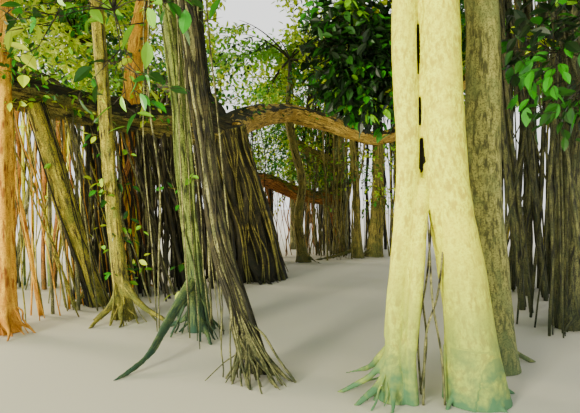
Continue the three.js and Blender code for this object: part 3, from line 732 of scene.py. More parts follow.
def root_parts(path, spec, seed):
    """A surface root leaves the stem's middle at a height, comes down in a curve through a knee
    and winds a little on its way out to its tip, which ends in the ground. Its thickness is
    that at the stem times 1 - taper * share."""
    dice = np.random.default_rng(seed)
    parts = []
    for degrees, reach, height in spec.get("roots", []):
        top = path[np.argmax(path[:, 2] > height)]
        thick = min(spec["girth"][0] * ROOT_MOST, ROOT_LEAST + reach * ROOT_GROWTH)
        out = np.array([math.cos(math.radians(degrees)), math.sin(math.radians(degrees)), 0.0])
        square = np.array([-out[1], out[0], 0.0])
        tip = path[0] * (1, 1, 0) + out * reach - (0, 0, thick * ROOT_SINK)
        knee = top * (1 - KNEE_OUT) + tip * KNEE_OUT
        knee[2] = height * KNEE_HEIGHT
        middle = top * (1 - MIDDLE_OUT) + tip * MIDDLE_OUT
        middle = middle + square * dice.normal(0, ROOT_WIND) * reach
        middle[2] = height * MIDDLE_HEIGHT
        line = spaced([top, knee, middle, tip], ROOT_STEP)
        share = np.linspace(0, 1, len(line))
        parts.append((line, thick / 2 * (1 - ROOT_TAPER * share)))
    return parts


print("surface roots:", sum(len(spec.get("roots", [])) for spec in [*TRUNK_LEGS, *LIMBS.values()]))

# %% [markdown]
# The grain has to follow each strand after the skin is drawn over them, so each vertex of the
# skin takes the frame of the nearest place on any part's middle line, and its grain coordinate
# is its place in that frame. The relief that is finer than the strands is then added along the
# surface's own normals: wrinkles along the grain, and lumps.

# %% Drawing a skin over the parts
NEAREST_BATCH = 20000
PART_SHIFT = 5.0  # metres from one part's grain to the next's, so that no two match
SOFTENING, SOFTENED = 0.5, 2  # how strongly and how often the skin is smoothed
WRINKLE, WRINKLE_STRETCH, LUMP = 0.035, 9.0, 0.16  # metres across, and how much longer
FOLD_LEVEL = 0.6  # the folds' own height that counts as the surface


def nearest(places, samples):
    """The number of the nearest sample to each place, by |p|^2 - 2 p.s + |s|^2, in batches."""
    square = (samples**2).sum(1)
    found = [
        (square - 2 * places[i:i + NEAREST_BATCH] @ samples.T).argmin(1)
        for i in range(0, len(places), NEAREST_BATCH)
    ]
    return np.concatenate(found)


def grain_round(places, parts):
    """The place of each vertex in the frame of the nearest part's middle line, as if that line
    were straight."""
    frames = [framed(line) for line, _ in parts]
    lines = np.concatenate([line for line, _ in parts])
    ahead, side, other = (np.concatenate([f[i] for f in frames]) for i in range(3))
    shifts = np.concatenate([f[3] + PART_SHIFT * k for k, f in enumerate(frames)])
    near = nearest(places, lines)
    off = places - lines[near]
    dot = [(off * axis[near]).sum(1) for axis in (side, other, ahead)]
    return np.stack([dot[0], dot[1], shifts[near] + dot[2]], axis=1)


def skin_over(name, parts, voxel, sides):
    """One closed skin over tubes that cross each other: its vertices' places and normals, and
    its quads."""
    rough = joined([tube(line, radius, sides) for line, radius in parts])
    body = bpy.data.objects.new(name, mesh_of(name, rough))
    bpy.context.scene.collection.objects.link(body)
    skin = body.modifiers.new("skin", "REMESH")
    skin.mode, skin.voxel_size = "VOXEL", voxel
    soften = body.modifiers.new("soften", "SMOOTH")
    soften.factor, soften.iterations = SOFTENING, SOFTENED
    drawn = body.evaluated_get(bpy.context.evaluated_depsgraph_get()).to_mesh()
    places = values_of(drawn.vertices, "co", 3)
    normals = values_of(drawn.vertices, "normal", 3)
    quads = values_of(drawn.loops, "vertex_index", 1, int).reshape(-1, 4)
    bpy.data.objects.remove(body)
    return places, normals, quads


def wrinkled(places, normals, grain, wrinkle, lump, seed):
    """Each place moved along its normal by lumps of noise, and by wrinkles of noise that is
    drawn out along the grain and folded so that its valleys are sharp."""
    drawn = grain / WRINKLE / (1, 1, WRINKLE_STRETCH)
    folds = 1 - 2 * np.abs(noise(drawn, seed))
    rise = wrinkle * (folds - FOLD_LEVEL) + lump * noise(grain / LUMP, seed + 1)
    return places + normals * rise[:, None]


print("wrinkles are", WRINKLE * 1000, "mm across and", WRINKLE * WRINKLE_STRETCH, "m long")

# %% [markdown]
# The trunk is three legs that fuse above head height into one pale stem, with a dark slit where
# the two front legs meet and an arch between their feet. Its bark is the smoothest on the tree,
# with broad soft flutes, and the leg that stands behind in the shade has darker bark, with
# lichen and painted shade. The legs, the strap beside the arch and the wood at the back of the
# slit get one skin, and each face takes the finish of the leg that is nearest; the wood at the
# back of the slit is near-black, as painted shade. The stilt roots in the arch are thinner than
# the skin can follow, so they stay tubes of their own.

# %% The trunk
TRUNK_VOXEL, TRUNK_SIDES = 0.0155, 28
TRUNK_SWELLS = [(0.009, (5, 5, 0.7), 5), (0.003, (17, 17, 6), 6)]  # metres, noise steps and seed
TRUNK_FOLDS, TRUNK_LUMPS = 0.0008, 0.004
SHADED_LEG, SLIT_BACK = 2, 4  # the leg behind, and the wood at the back of the slit
STILT_ROOTS = [
    [(-0.43, -0.02, 1.62), (-0.42, -0.1, 1.37), (-0.385, -0.1, 0.81), (-0.31, -0.1, 0.36),
     (-0.29, -0.12, 0)],
    [(-0.28, -0.04, 1.3), (-0.31, -0.1, 1.16), (-0.35, -0.1, 0.84), (-0.43, -0.1, 0.57),
     (-0.46, -0.12, 0)],
    [(-0.47, 0.1, 1.66), (-0.42, 0.12, 0.9), (-0.36, 0.16, 0.4), (-0.4, 0.2, 0)],
    [(-0.33, 0.1, 1.6), (-0.36, 0.14, 1.0), (-0.44, 0.12, 0.5), (-0.42, 0.1, 0)],
]
STILT_RADIUS, STILT_SIDES = 0.009, 8

trunk_parts, part_leg = [], []
for k, leg in enumerate(TRUNK_LEGS):
    path = spaced(leg["points"], RING_STEP)
    parts = [(path, girth_along(path, leg))] + root_parts(path, leg, 40 + k)
    trunk_parts += parts
    part_leg += [k] * sum(len(line) for line, _ in parts)
places, normals, quads = skin_over("trunk_parts", trunk_parts, TRUNK_VOXEL, TRUNK_SIDES)
grain = grain_round(places, trunk_parts)
swell = sum(rise * noise(grain * steps, seed) for rise, steps, seed in TRUNK_SWELLS)
places = places + normals * swell[:, None]
places = wrinkled(places, normals, grain, TRUNK_FOLDS, TRUNK_LUMPS, 7)
skin = {"places": places, "grain": grain, "quads": quads, "triangles": NO_TRIANGLES}
trunk_mesh = mesh_of("trunk_bark", skin)
cut_at_ground(trunk_mesh)
place_piece("trunk_bark", trunk_mesh, [BARKS["pale"], BARKS["shade"], BARKS["deep"]], ["trunk"])
middles = values_of(trunk_mesh.polygons, "center", 3)
legs = np.array(part_leg)[nearest(middles, np.concatenate([line for line, _ in trunk_parts]))]
# The leg behind takes the darker lichened bark, partly painted shade, and the wood at the back of the
# slit takes near-black bark as painted shade.
finish = np.select([legs == SHADED_LEG, legs == SLIT_BACK], [1, 2], 0).astype(np.int32)
trunk_mesh.polygons.foreach_set("material_index", finish)
stilts = [spaced(stilt, RING_STEP) for stilt in STILT_ROOTS]
stilts = joined([tube(line, np.full(len(line), STILT_RADIUS), STILT_SIDES) for line in stilts])
place_roots("stilt_roots", stilts, "grey")
print("trunk quads:", len(quads))

# %% [markdown]
# The other limbs follow the same recipe with more strands and deeper wrinkles. The voxels grow
# with the distance from someone who stands on the path, as detail that is too far away to see
# only costs faces. The boughs are skinned the same way: a few strands run along them too,
# because aerial roots creep along a bough before they drop. Some boughs have paler bark on the
# faces that look down, as painted light.

# %% The pillars and boughs
EYE = np.array([-1.5, -4.0, 1.6])  # of someone who stands on the path
VOXEL_LEAST, VOXEL_GROWTH = 0.0105, 0.0019
HIDDEN_HEIGHT, HIDDEN_VOXEL = 4.2, 1.9  # boughs above this height are hidden by leaves
BOUGH_STRANDS = 5
FOLDS, LUMPS = 0.004, 0.008  # how far wrinkles and lumps stand out
UNDERSIDE, UNDERSIDE_WAVER = -0.15, 0.5  # the normal's rise under which a face is underside
UNDERSIDE_STEPS = 6  # of that waver's noise to a metre
LIMB_SIDES, CREEPER_SIDES = 12, 6


def limb_parts(spec, seed):
    """A limb's core, its strands and its surface roots, each a middle line with radii."""
    path = spaced(spec["points"], RING_STEP)
    radius = girth_along(path, spec)
    count = spec.get("strands", BOUGH_STRANDS)
    core = [(path, radius * CORE_SHARE)]
    return core + strand_parts(path, radius, count, seed) + root_parts(path, spec, seed)


# The faces that look down take the paler under bark, as painted light.
def underside(mesh, limit):
    """1 for each face whose normal's rise is less than a limit that wavers by noise, else 0."""
    middles = values_of(mesh.polygons, "center", 3)
    limit = limit + UNDERSIDE_WAVER * noise(middles * UNDERSIDE_STEPS, 9)
    return (values_of(mesh.polygons, "normal", 3)[:, 2] < limit).astype(np.int32)


limb_quads = 0
for seed, (name, spec) in enumerate(LIMBS.items()):
    parts = limb_parts(spec, seed)
    away = np.linalg.norm(np.array(spec["points"]) - EYE, axis=1).min()
    hidden = min(point[2] for point in spec["points"]) > HIDDEN_HEIGHT
    voxel = (VOXEL_LEAST + VOXEL_GROWTH * away) * (HIDDEN_VOXEL if hidden else 1)
    places, normals, quads = skin_over(name + "_parts", parts, voxel, LIMB_SIDES)
    grain = grain_round(places, parts)
    places = wrinkled(places, normals, grain, spec.get("folds", FOLDS), LUMPS, seed + 100)
    if "thin" in spec:
        path = parts[0][0]
        clinging = thin_parts(path, girth_along(path, spec), spec["thin"], seed + 200)
        creepers = joined([tube(line, radius, CREEPER_SIDES) for line, radius in clinging])
        place_roots(name + "_creepers", creepers, spec.get("creepers", spec["bark"]))
    skin = {"places": places, "grain": grain, "quads": quads, "triangles": NO_TRIANGLES}
    mesh = mesh_of(name + "_bark", skin)
    if spec["points"][0][2] < 0:
        cut_at_ground(mesh)
    finishes = [BARKS[spec[key]] for key in ("bark", "under") if key in spec]
    place_piece(name + "_bark", mesh, finishes, [name])
    if "under" in spec:
        below = underside(mesh, spec.get("under_to", UNDERSIDE))
        mesh.polygons.foreach_set("material_index", below)
    limb_quads += len(quads)
print("limb quads:", limb_quads)

# %% [markdown]
# Between the pillars hang hundreds of younger aerial roots, from the thickness of a string to
# that of an arm. They grew straight down under their own weight, and the ones that reached the
# ground have tightened and lean a little. They are far too many to skin one by one, so all the
# roots of one bough are worked out together as one array of lines, and then as one array of
# narrow tubes.

# %% Many thin roots at once
THIN_RINGS, THIN_SIDES = 18, 5
SWAY_STEPS, SWAY_UPWARDS = 5, 0.3  # of noise from top to foot, and the sway's share in height
LINE_ROW, AXIS_ROW = 5.7, 31.0  # noise steps from one root to the next, and between the axes
GRAIN_ROW = 3.0  # metres from one root's grain to the next's, so that no two match
ROOT_SWELL, SWELL_STEPS = 0.22, 6  # of the radius, and steps of noise to a metre


def thin_lines(tops, feet, drift, seed):
    """Line n runs evenly from its top to its foot, moved aside by drift * noise * sin(pi s) at
    the share s of its length."""
    s = np.linspace(0, 1, THIN_RINGS)[:, None]
    straight = tops[:, None] + (feet - tops)[:, None] * s
    number = np.arange(len(tops))[:, None, None] * LINE_ROW
    where = np.broadcast_to(np.hstack([s * SWAY_STEPS, s * 0, s * 0]), straight.shape) + number
    sway = np.stack([noise(where + AXIS_ROW * axis, seed) for axis in range(3)], axis=-1)
    return straight + sway * (np.sin(np.pi * s) * drift * (1, 1, SWAY_UPWARDS))


def thin_tubes(lines, radii):
    """All lines as tubes: ring i of line n stands square to the line with the radius of n,
    which swells and narrows a little along it. Both ends are closed."""
    count, rings = lines.shape[:2]
    ahead = unit(np.gradient(lines, axis=1))
    chord = unit(lines[:, -1] - lines[:, 0])
    upright = np.broadcast_to(np.abs(chord[:, 2:]) > STEEP, (count, rings))
    side = across(ahead, upright)
    other = np.cross(ahead, side)
    turn = 2 * np.pi * np.arange(THIN_SIDES) / THIN_SIDES
    swell = 1 + ROOT_SWELL * noise(lines * SWELL_STEPS, 3)
    reach = (radii[:, None] * swell)[..., None]
    right, up = reach * np.cos(turn), reach * np.sin(turn)
    places = lines[:, :, None] + side[:, :, None] * right[..., None]
    places = places + other[:, :, None] * up[..., None]
    steps = np.linalg.norm(np.diff(lines, axis=1), axis=2)
    along = np.pad(np.cumsum(steps, axis=1), ((0, 0), (1, 0)))
    along = along + np.arange(count)[:, None] * GRAIN_ROW
    grain = np.stack([right, up, np.broadcast_to(along[..., None], right.shape)], axis=-1)
    number = np.arange(count * rings * THIN_SIDES).reshape(count, rings, THIN_SIDES)
    onward = np.roll(number, -1, axis=2)
    quads = np.stack([number[:, :-1], onward[:, :-1], onward[:, 1:], number[:, 1:]], axis=-1)
    first, last = number[:, 0], number[:, -1]
    caps = [first[:, [0, i + 1, i]] for i in range(1, THIN_SIDES - 1)]
    caps += [last[:, [0, i, i + 1]] for i in range(1, THIN_SIDES - 1)]
    places[..., 2] = np.maximum(places[..., 2], 0)
    return {"places": places.reshape(-1, 3), "grain": grain.reshape(-1, 3),
            "quads": quads.reshape(-1, 4), "triangles": np.concatenate(caps)}


print("faces of a thin root:", (THIN_RINGS - 1) * THIN_SIDES + 2 * (THIN_SIDES - 2))

# %% [markdown]
# Each row below is one curtain of roots: the bough it hangs from and the stretch of it, how many
# roots, where their feet stand from below their tops, how far they scatter, their thickness in
# millimetres, and their bark. A row with a shift and a top hangs from the twigs over that bough.
# The lean towards the right of the path is the one that the pillars have. Some roots are still
# on their way down and end in the air, which is how they all began.

# %% Curtains of roots
CURTAINS = [
    dict(on="bough_left", span=(0.03, 0.3), count=80, lean=(0.25, -0.15), scatter=0.34,
         thick=(14, 95), bark="dark"),
    dict(on="bough_left", span=(0.12, 0.4), count=40, lean=(0.35, 0.0), scatter=0.3,
         thick=(12, 60), bark="grey"),
    dict(on="bough_left", span=(0.25, 0.5), count=18, lean=(0.45, 0.1), scatter=0.3,
         thick=(12, 70), bark="orange"),
    dict(on="bough_far_left", span=(0.0, 0.45), count=16, lean=(0.1, 0.0), scatter=0.25,
         thick=(40, 130), bark="pale"),
    dict(on="bough_far_left", span=(0.0, 0.5), count=12, lean=(0.15, -0.1), scatter=0.25,
         thick=(30, 110), bark="red"),
    dict(on="bough_left", span=(0.3, 0.56), count=26, lean=(0.4, 0.25), scatter=0.35,
         thick=(12, 55), bark="yellow"),
    dict(on="bough_far_left", span=(0.1, 0.75), count=44, lean=(0.2, 0.1), scatter=0.5,
         thick=(14, 90), bark="grey"),
    dict(on="bough_rear_left", span=(0.05, 0.8), count=80, lean=(0.2, 0.0), scatter=0.5,
         thick=(20, 130), bark="dark"),
    dict(on="bough_arch", span=(0.02, 0.22), count=26, lean=(0.1, -0.2), scatter=0.3,
         thick=(12, 40), bark="dark"),
    dict(on="bough_arch", span=(0.42, 0.72), count=50, lean=(0.1, 0.1), scatter=0.25,
         thick=(10, 60), bark="moss"),
    dict(on="bough_arch", span=(0.42, 0.8), count=60, shift=(0.1, 2.2), top=5.3,
         lean=(0.1, 0.0), scatter=0.22, thick=(20, 150), bark="dark"),
    dict(on="bough_rear", span=(0.0, 0.34), count=40, lean=(0.35, -0.1), scatter=0.25,
         thick=(14, 60), bark="grey"),
    dict(on="bough_rear", span=(0.0, 0.3), count=34, shift=(0.3, 2.4), top=5.3,
         lean=(0.1, 0.0), scatter=0.25, thick=(20, 130), bark="dark"),
    dict(on="bough_low", span=(0.3, 0.95), count=60, lean=(0.1, 0.05), scatter=0.25,
         thick=(12, 60), bark="red"),
    dict(on="bough_right_rear", span=(0.4, 0.95), count=110, lean=(0.1, 0.0), scatter=0.55,
         thick=(20, 130), bark="dusk"),
    dict(on="bough_right_rear", span=(0.5, 0.9), count=16, lean=(0.1, 0.2), scatter=0.5,
         thick=(20, 90), bark="yellow"),
    dict(on="bough_mid_right", span=(0.35, 0.55), count=14, lean=(0.15, 0.2), scatter=0.4,
         thick=(18, 60), bark="dusk"),
    dict(on="bough_over_path", span=(0.48, 0.62), count=12, lean=(0.35, -0.3), scatter=0.25,
         thick=(8, 34), bark="grey"),
]
FREE_SHARE, FREE_ENDS = 0.15, (0.25, 0.8)  # of the roots end in the air, so far down
FREE_RADIUS = 0.007  # the most for a root that ends in the air
TOP_SLIP, TOP_SCATTER = 0.01, 0.05  # of the bough's length along it, and metres from it
THIN_BIAS = 2.2  # the power that makes most roots of a curtain thin
CURTAIN_DRIFT = (0.03, 0.13)  # metres that a root sways
RADIUS_UNITS = 2000  # millimetres of thickness to a metre of radius


def curtain_shape(row, seed):
    """The roots of one curtain, evenly over its stretch of the bough."""
    dice = np.random.default_rng(seed)
    count = row["count"]
    shares = np.linspace(*row["span"], count) + dice.normal(0, TOP_SLIP, count)
    tops = evenly(smooth_curve(LIMBS[row["on"]]["points"]), shares)
    tops[:, :2] += dice.normal(0, TOP_SCATTER, (count, 2)) + row.get("shift", 0)
    tops[:, 2] = row.get("top", tops[:, 2])
    feet = tops + np.append(row["lean"], 0) + dice.normal(0, row["scatter"], (count, 3))
    feet[:, 2] = 0
    ends = np.where(dice.random(count) < FREE_SHARE, dice.uniform(*FREE_ENDS, count), 1.0)
    low, high = row["thick"]
    radii = (low + (high - low) * dice.random(count) ** THIN_BIAS) / RADIUS_UNITS
    radii = np.where(ends < 1, np.minimum(radii, FREE_RADIUS), radii)
    feet = tops + (feet - tops) * ends[:, None]
    drift = dice.uniform(*CURTAIN_DRIFT, count)[:, None, None]
    return thin_tubes(thin_lines(tops, feet, drift, seed), radii)


for seed, row in enumerate(CURTAINS):
    roots = curtain_shape(row, 300 + seed)
    place_roots(f"thin_roots_{seed + 1}", roots, row["bark"], cut=False)
print("thin roots:", sum(row["count"] for row in CURTAINS))

# %% [markdown]
# The foot of the strand bundle beside the path spreads into a fan of thin roots, like the cords
# of a tent. The other near pillars and the trunk's left leg have fewer of them. Each row below
# gives the heights at which they leave the stem, their headings in degrees, how far from the
# stem they end, and their thickness in millimetres.

# %% Fans of roots at the feet
FANS = [
    dict(on="pillar_bundle", count=30, height=(0.3, 1.3), turn=(195, 325), reach=(0.15, 0.58),
         thick=(8, 26), bark="grey"),
    dict(on="pillar_smooth_left", count=12, height=(0.25, 0.9), turn=(200, 360),
         reach=(0.15, 0.55), thick=(10, 30), bark="olive"),
    dict(on="pillar_yellow", count=14, height=(0.2, 0.9), turn=(200, 350), reach=(0.15, 0.5),
         thick=(10, 32), bark="yellow"),
    dict(on="pillar_far_left", count=12, height=(0.2, 0.8), turn=(220, 380), reach=(0.1, 0.4),
         thick=(10, 32), bark="orange"),
    dict(on="pillar_great", count=26, height=(0.3, 1.3), turn=(180, 350), reach=(0.5, 1.0),
         thick=(14, 60), bark="dark"),
    dict(on="trunk_left", count=7, height=(0.2, 0.55), turn=(110, 250), reach=(0.16, 0.42),
         thick=(8, 26), bark="pale"),
]
FINE_STEP = 0.02
FAN_DRIFT, FAN_SAG = (0.02, 0.08), 0.16  # metres of sway, and share of its way out


def fan_shape(row, seed):
    """Roots that leave a stem at a height and run out and down in a curve that steepens near
    the stem: the middle of each line is drawn in towards the stem by the sag of sin(pi s)."""
    dice = np.random.default_rng(seed)
    spec = TRUNK_LEGS[1] if row["on"] == "trunk_left" else LIMBS[row["on"]]
    path = spaced(spec["points"], FINE_STEP)
    count = row["count"]
    height = dice.uniform(*row["height"], count)
    tops = path[np.argmax(path[:, 2] > height[:, None], axis=1)]
    turn = np.radians(dice.uniform(*row["turn"], count))
    out = np.stack([np.cos(turn), np.sin(turn), turn * 0], axis=1)
    feet = path[0] * (1, 1, 0) + out * dice.uniform(*row["reach"], count)[:, None]
    lines = thin_lines(tops, feet, dice.uniform(*FAN_DRIFT, count)[:, None, None], seed)
    s = np.linspace(0, 1, THIN_RINGS)[:, None]
    lines = lines - (np.sin(np.pi * s) * FAN_SAG) * (feet - tops * (1, 1, 0))[:, None]
    return thin_tubes(lines, dice.uniform(*row["thick"], count) / RADIUS_UNITS)


for seed, row in enumerate(FANS):
    place_roots("fan_roots_" + row["on"], fan_shape(row, 400 + seed), row["bark"], cut=False)
print("roots in fans:", sum(row["count"] for row in FANS))

# %% [markdown]
# The crown is a low wide dome, arched underneath. Each mass of foliage owns the part of it that
# is nearer to the mass's middle than to any other's, and three low masses hang beside the path
# in ellipsoids of their own. These are the same rules as in the solids, in metres.

# %% The crown and its masses
CROWN_X, CROWN_Y, REACH_X, REACH_Y = -1.5, 4.5, 11.2, 11.5
RIM_HEIGHT, CROWN_TOP, SKIRT_DROP = 4.9, 12.3, 1.1
UNDERSIDE_RIM, UNDERSIDE_ARCH = 4.0, 2.3
SPACE_GAP, RAY_STEP = 0.07, 0.06
CROWN_MIDDLE = np.array([CROWN_X, CROWN_Y, RIM_HEIGHT])


def ring(name, count, first_degrees, radius, height, growth):
    """Masses evenly spaced on a level circle round the crown's middle, clockwise from above."""
    masses = []
    for i in range(count):
        angle = math.radians(first_degrees - 360 / count * i)
        centre = (CROWN_X + radius * math.cos(angle), CROWN_Y + radius * math.sin(angle), height)
        masses.append(dict(name=f"{name}_{i + 1}", centre=centre, **growth))
    return masses


LOW_GROWTH = dict(blade=0.64, twigs=4, sprays=3)
MASSES = [
    *ring("foliage_rim", 8, 90, 9.0, 6.5, dict(blade=2.7, twigs=5, sprays=4)),
    *ring("foliage_mid", 5, -100, 5.3, 8.7, dict(blade=2.7, twigs=5, sprays=3)),
    dict(name="foliage_top_left", centre=(-2.8, 5.4, 10.2), blade=2.5, twigs=4, sprays=3),
    dict(name="foliage_top_right", centre=(-0.1, 3.4, 10.2), blade=2.5, twigs=4, sprays=3),
    dict(name="foliage_low_left", centre=(-2.85, -0.15, 3.05), reach=(0.95, 0.8, 0.95),
         **LOW_GROWTH),
    dict(name="foliage_low_path", centre=(-0.6, 3.1, 3.55), reach=(0.85, 0.85, 1.5), **LOW_GROWTH),
    dict(name="foliage_low_right", centre=(1.2, 0.62, 2.9), reach=(0.75, 0.8, 0.95),
         **LOW_GROWTH),
]
CROWN_CENTRES = np.array([mass["centre"] for mass in MASSES if "reach" not in mass])


def in_crown(p):
    """Whether places lie under the dome, an ellipsoid, and over the arched underside."""
    out = np.hypot((p[..., 0] - CROWN_X) / REACH_X, (p[..., 1] - CROWN_Y) / REACH_Y)
    rise = p[..., 2] - RIM_HEIGHT
    height = np.where(rise > 0, CROWN_TOP - RIM_HEIGHT, SKIRT_DROP)
    floor = UNDERSIDE_RIM + UNDERSIDE_ARCH * (1 - out**2)
    return (out**2 + (rise / height) ** 2 < 1) & (p[..., 2] > floor)


def in_space(p, mass):
    """Whether places lie in a mass's own space."""
    centre = np.array(mass["centre"])
    if "reach" in mass:
        return np.linalg.norm((p - centre) / mass["reach"], axis=-1) < 1
    own = np.linalg.norm(p - centre, axis=-1)
    others = CROWN_CENTRES[np.any(CROWN_CENTRES != centre, axis=1)]
    gaps = np.stack([np.linalg.norm(p - other, axis=-1) for other in others]).min(0)
    return in_crown(p) & (gaps > own + SPACE_GAP)


def room_along(start, way, mass, most):
    """How far one can go from each start along its way, in steps, before leaving the space."""
    steps = np.arange(1, int(most / RAY_STEP) + 1) * RAY_STEP
    places = start[..., None, :] + way[..., None, :] * steps[:, None]
    inside = in_space(places, mass)
    return np.where(inside.all(-1), len(steps), inside.argmin(-1)) * RAY_STEP


print("masses:", len(MASSES))

# %% [markdown]
# In each mass a stem runs on from the bough's tip, twigs leave it towards every side, and sprays
# leave the twigs at turns that advance by the golden ratio, which spreads them as evenly as real
# buds. The solids stop there, with a few wide blades. Here the same sequence goes on, so that
# each twig has many more sprays, and each spray is a thin twig with side twigs of its own. Twigs
# arch up a little. The crown lets the sky through in places: noise opens gaps in it, and there
# are clearings, cones as seen from the path in which most sprays are left out.

# %% Twigs and sprays by the golden ratio
GOLDEN, SEED_STEP = 0.6180339887, 0.7548776662
TWIG_RISE = 0.1  # of its length that a twig arches up at its middle
TWIG_SHARE, OUTWARD_PULL = 0.62, 0.45
SPRAY_TILT, FACE_TILT, SPRAY_WIDTH = 0.95, 0.5, 0.72
OWN_PLACES, MORE_PLACES = (0.97, 0.55), (0.99, 0.82)  # the first spray's share, and the range
SHORTEST_SPRAY, SPRAY_MIDDLE = 0.2, 0.6  # of the mass's blade, and of the spray's own length
SEAT_GAP = 0.0003
STEM_BOW, STEM_PLACES = 0.45, 24
GAP_SCALE, GAP_LEVEL = 0.75, -0.16  # noise that opens gaps over a metre wide in the crown
MORE_SPRAYS = 4  # times as many sprays on a twig as in the solids
MORE_TWIGS = 6  # thinner twigs on a mass besides those in the solids
OTHER_GROWTH = {  # times as many sprays, and thinner twigs, on a mass that differs from that
    "foliage_low_left": (2, 5), "foliage_low_right": (4, 6), "foliage_low_path": (5, 10),
}
CLEARINGS = [  # heading and rise in degrees, as seen from the path, and half widths
    (-6.5, 16.0, 4.0, 8.5), (-14.0, 19.0, 3.5, 6.0), (-2.0, 20.5, 3.0, 4.0),
    (-28.0, 12.5, 2.5, 3.0), (26.0, 17.0, 2.0, 3.5), (-38.0, 30.0, 6.0, 6.0),
]
LOW_CLEARINGS = [(3.4, 9.0, 4.2, 2.6)]  # the one in the low masses, in front of the arch
THINNED = 0.88  # of the sprays in a clearing that are missing
BORDER_WAVER, BORDER_STEPS = 0.5, 1.5  # of a clearing's width, and steps of noise to a metre


def spread(i, seed):
    """A number from 0 to 1 that is spread evenly over i and differs from seed to seed."""
    return (i * GOLDEN + seed * SEED_STEP) % 1


def tilted(axis, angle, turn):
    """A direction at an angle to each axis, turned about it."""
    side = across(axis, np.abs(axis[..., 2]) > STEEP)
    other = np.cross(axis, side)
    lean = side * np.cos(turn)[..., None] + other * np.sin(turn)[..., None]
    return axis * np.cos(angle)[..., None] + lean * np.sin(angle)[..., None]


def stem_of(mass, carrier):
    """A mass's stem: a curve from the bough's tip to the mass's middle that leaves the tip
    straight on. It is (1-t)^2 start + 2t(1-t) bow + t^2 centre."""
    curve = smooth_curve(carrier["points"])
    way = unit(curve[-1] - curve[-2])
    start, centre = curve[-1] + way * SEAT_GAP, np.array(mass["centre"])
    bow = start + way * np.linalg.norm(start - centre) * STEM_BOW
    t = np.linspace(0, 1, STEM_PLACES)[:, None]
    return (1 - t) ** 2 * start + 2 * t * (1 - t) * bow + t**2 * centre


def twigs_of(mass, index, start):
    """The twigs' headings and lengths: the solids' own first, then as many thinner ones."""
    outward = unit(np.array(mass["centre"]) - CROWN_MIDDLE)
    headings = []
    more = OTHER_GROWTH.get(mass["name"], (MORE_SPRAYS, MORE_TWIGS))[1]
    for count, seed in ((mass["twigs"], index), (more, index + 31)):
        i = np.arange(count)
        level = 1 - (2 * i + 1) / count
        turn = 2 * np.pi * spread(i, seed)
        flat = np.sqrt(1 - level**2)
        even = np.stack([flat * np.cos(turn), flat * np.sin(turn), level], axis=1)
        headings.append(unit(even + OUTWARD_PULL * outward))
    headings = np.concatenate(headings)
    starts = np.broadcast_to(start, headings.shape)
    return headings, room_along(starts, headings, mass, REACH_X) * TWIG_SHARE


def in_clearing(places, rows=CLEARINGS, widen=1.0):
    """Whether places lie in a clearing: ((heading - its) / width)^2 + ((rise - its) / height)^2
    under 1, with a border that wavers by noise."""
    way = places - EYE
    heading = np.degrees(np.arctan2(way[:, 0], way[:, 1]))
    rise = np.degrees(np.arctan2(way[:, 2], np.hypot(way[:, 0], way[:, 1])))
    waver = 1 + BORDER_WAVER * noise(places * BORDER_STEPS, 12)
    found = [((heading - a) / w) ** 2 + ((rise - b) / h) ** 2 < widen * waver
             for a, b, w, h in rows]
    return np.any(found, axis=0)


def on_twig(start, heading, length, share):
    """The place at a share of a twig: start + heading * length * share, raised by the arch
    4 s (1 - s) of its rise."""
    arch = 4 * share * (1 - share) * TWIG_RISE * length
    return start + heading * (length * share)[..., None] + arch[..., None] * [0.0, 0.0, 1.0]


def sprays_of(mass, index, start, headings, lengths):
    """Every twig's sprays: spray k leaves at the share first - range * k / count, the first
    straight on and the others at the golden turn, and ends where the mass's space does."""
    count = mass["sprays"] * OTHER_GROWTH.get(mass["name"], (MORE_SPRAYS, MORE_TWIGS))[0]
    twig, k = (grid.ravel() for grid in np.meshgrid(
        np.arange(len(headings)), np.arange(count), indexing="ij"))
    way, length = headings[twig], lengths[twig]
    late = k >= mass["sprays"]
    own = OWN_PLACES[0] - OWN_PLACES[1] * k / mass["sprays"]
    share = np.where(late, MORE_PLACES[0] - MORE_PLACES[1] * k / count, own)
    root = on_twig(start, way, length, share)
    turn = 2 * np.pi * spread(k, index * 7 + twig)
    out = np.where((k == 0)[:, None], way, tilted(way, np.full(len(k), SPRAY_TILT), turn))
    long = np.minimum(mass["blade"], room_along(root, out, mass, mass["blade"]))
    up = np.broadcast_to([0.0, 0.0, 1.0], out.shape)
    face = tilted(up, np.full(len(k), FACE_TILT), turn + 1)
    width = unit(np.cross(out, face))
    middle = root + out * long[:, None] * SPRAY_MIDDLE
    open_air = noise(middle * GAP_SCALE, 11) < GAP_LEVEL
    clearings = LOW_CLEARINGS if "reach" in mass else CLEARINGS
    cleared = in_clearing(middle, clearings) & (spread(k, index + 3 * twig) < THINNED)
    keep = (long > SHORTEST_SPRAY * mass["blade"]) & ~(late & open_air) & ~cleared
    return root[keep], out[keep], width[keep], long[keep]


print("clearings:", len(CLEARINGS) + len(LOW_CLEARINGS))

# %% [markdown]
# A spray is a thin twig with side twigs to its left and right, longest at its middle, so that
# the whole has the outline of the solids' blade. The side twigs also lean out of its plane,
# which gives the crown depth. Leaves stand along them by the same golden turn.

# %% Side twigs and leaves
SIDE_SPACING, SIDE_ANGLE = 0.15, 0.87  # metres, and radians
LEAST_SIDES, MOST_SIDES = 3, 18  # side twigs on a spray
FIRST_SIDE = 0.6  # of a spacing from the spray's root to its first side twig
SIDE_EXTRA, SIDE_LEAST = 0.1, 0.12  # of the spray's length more, and the least in metres
LEAF_SPACING, MOST_LEAVES = 0.085, 11
LEAF_ANGLE, TIP_ANGLE, ANGLE_SPREAD = 0.95, 0.25, 0.15  # radians from the twig
LEAF_DROOP = 0.35


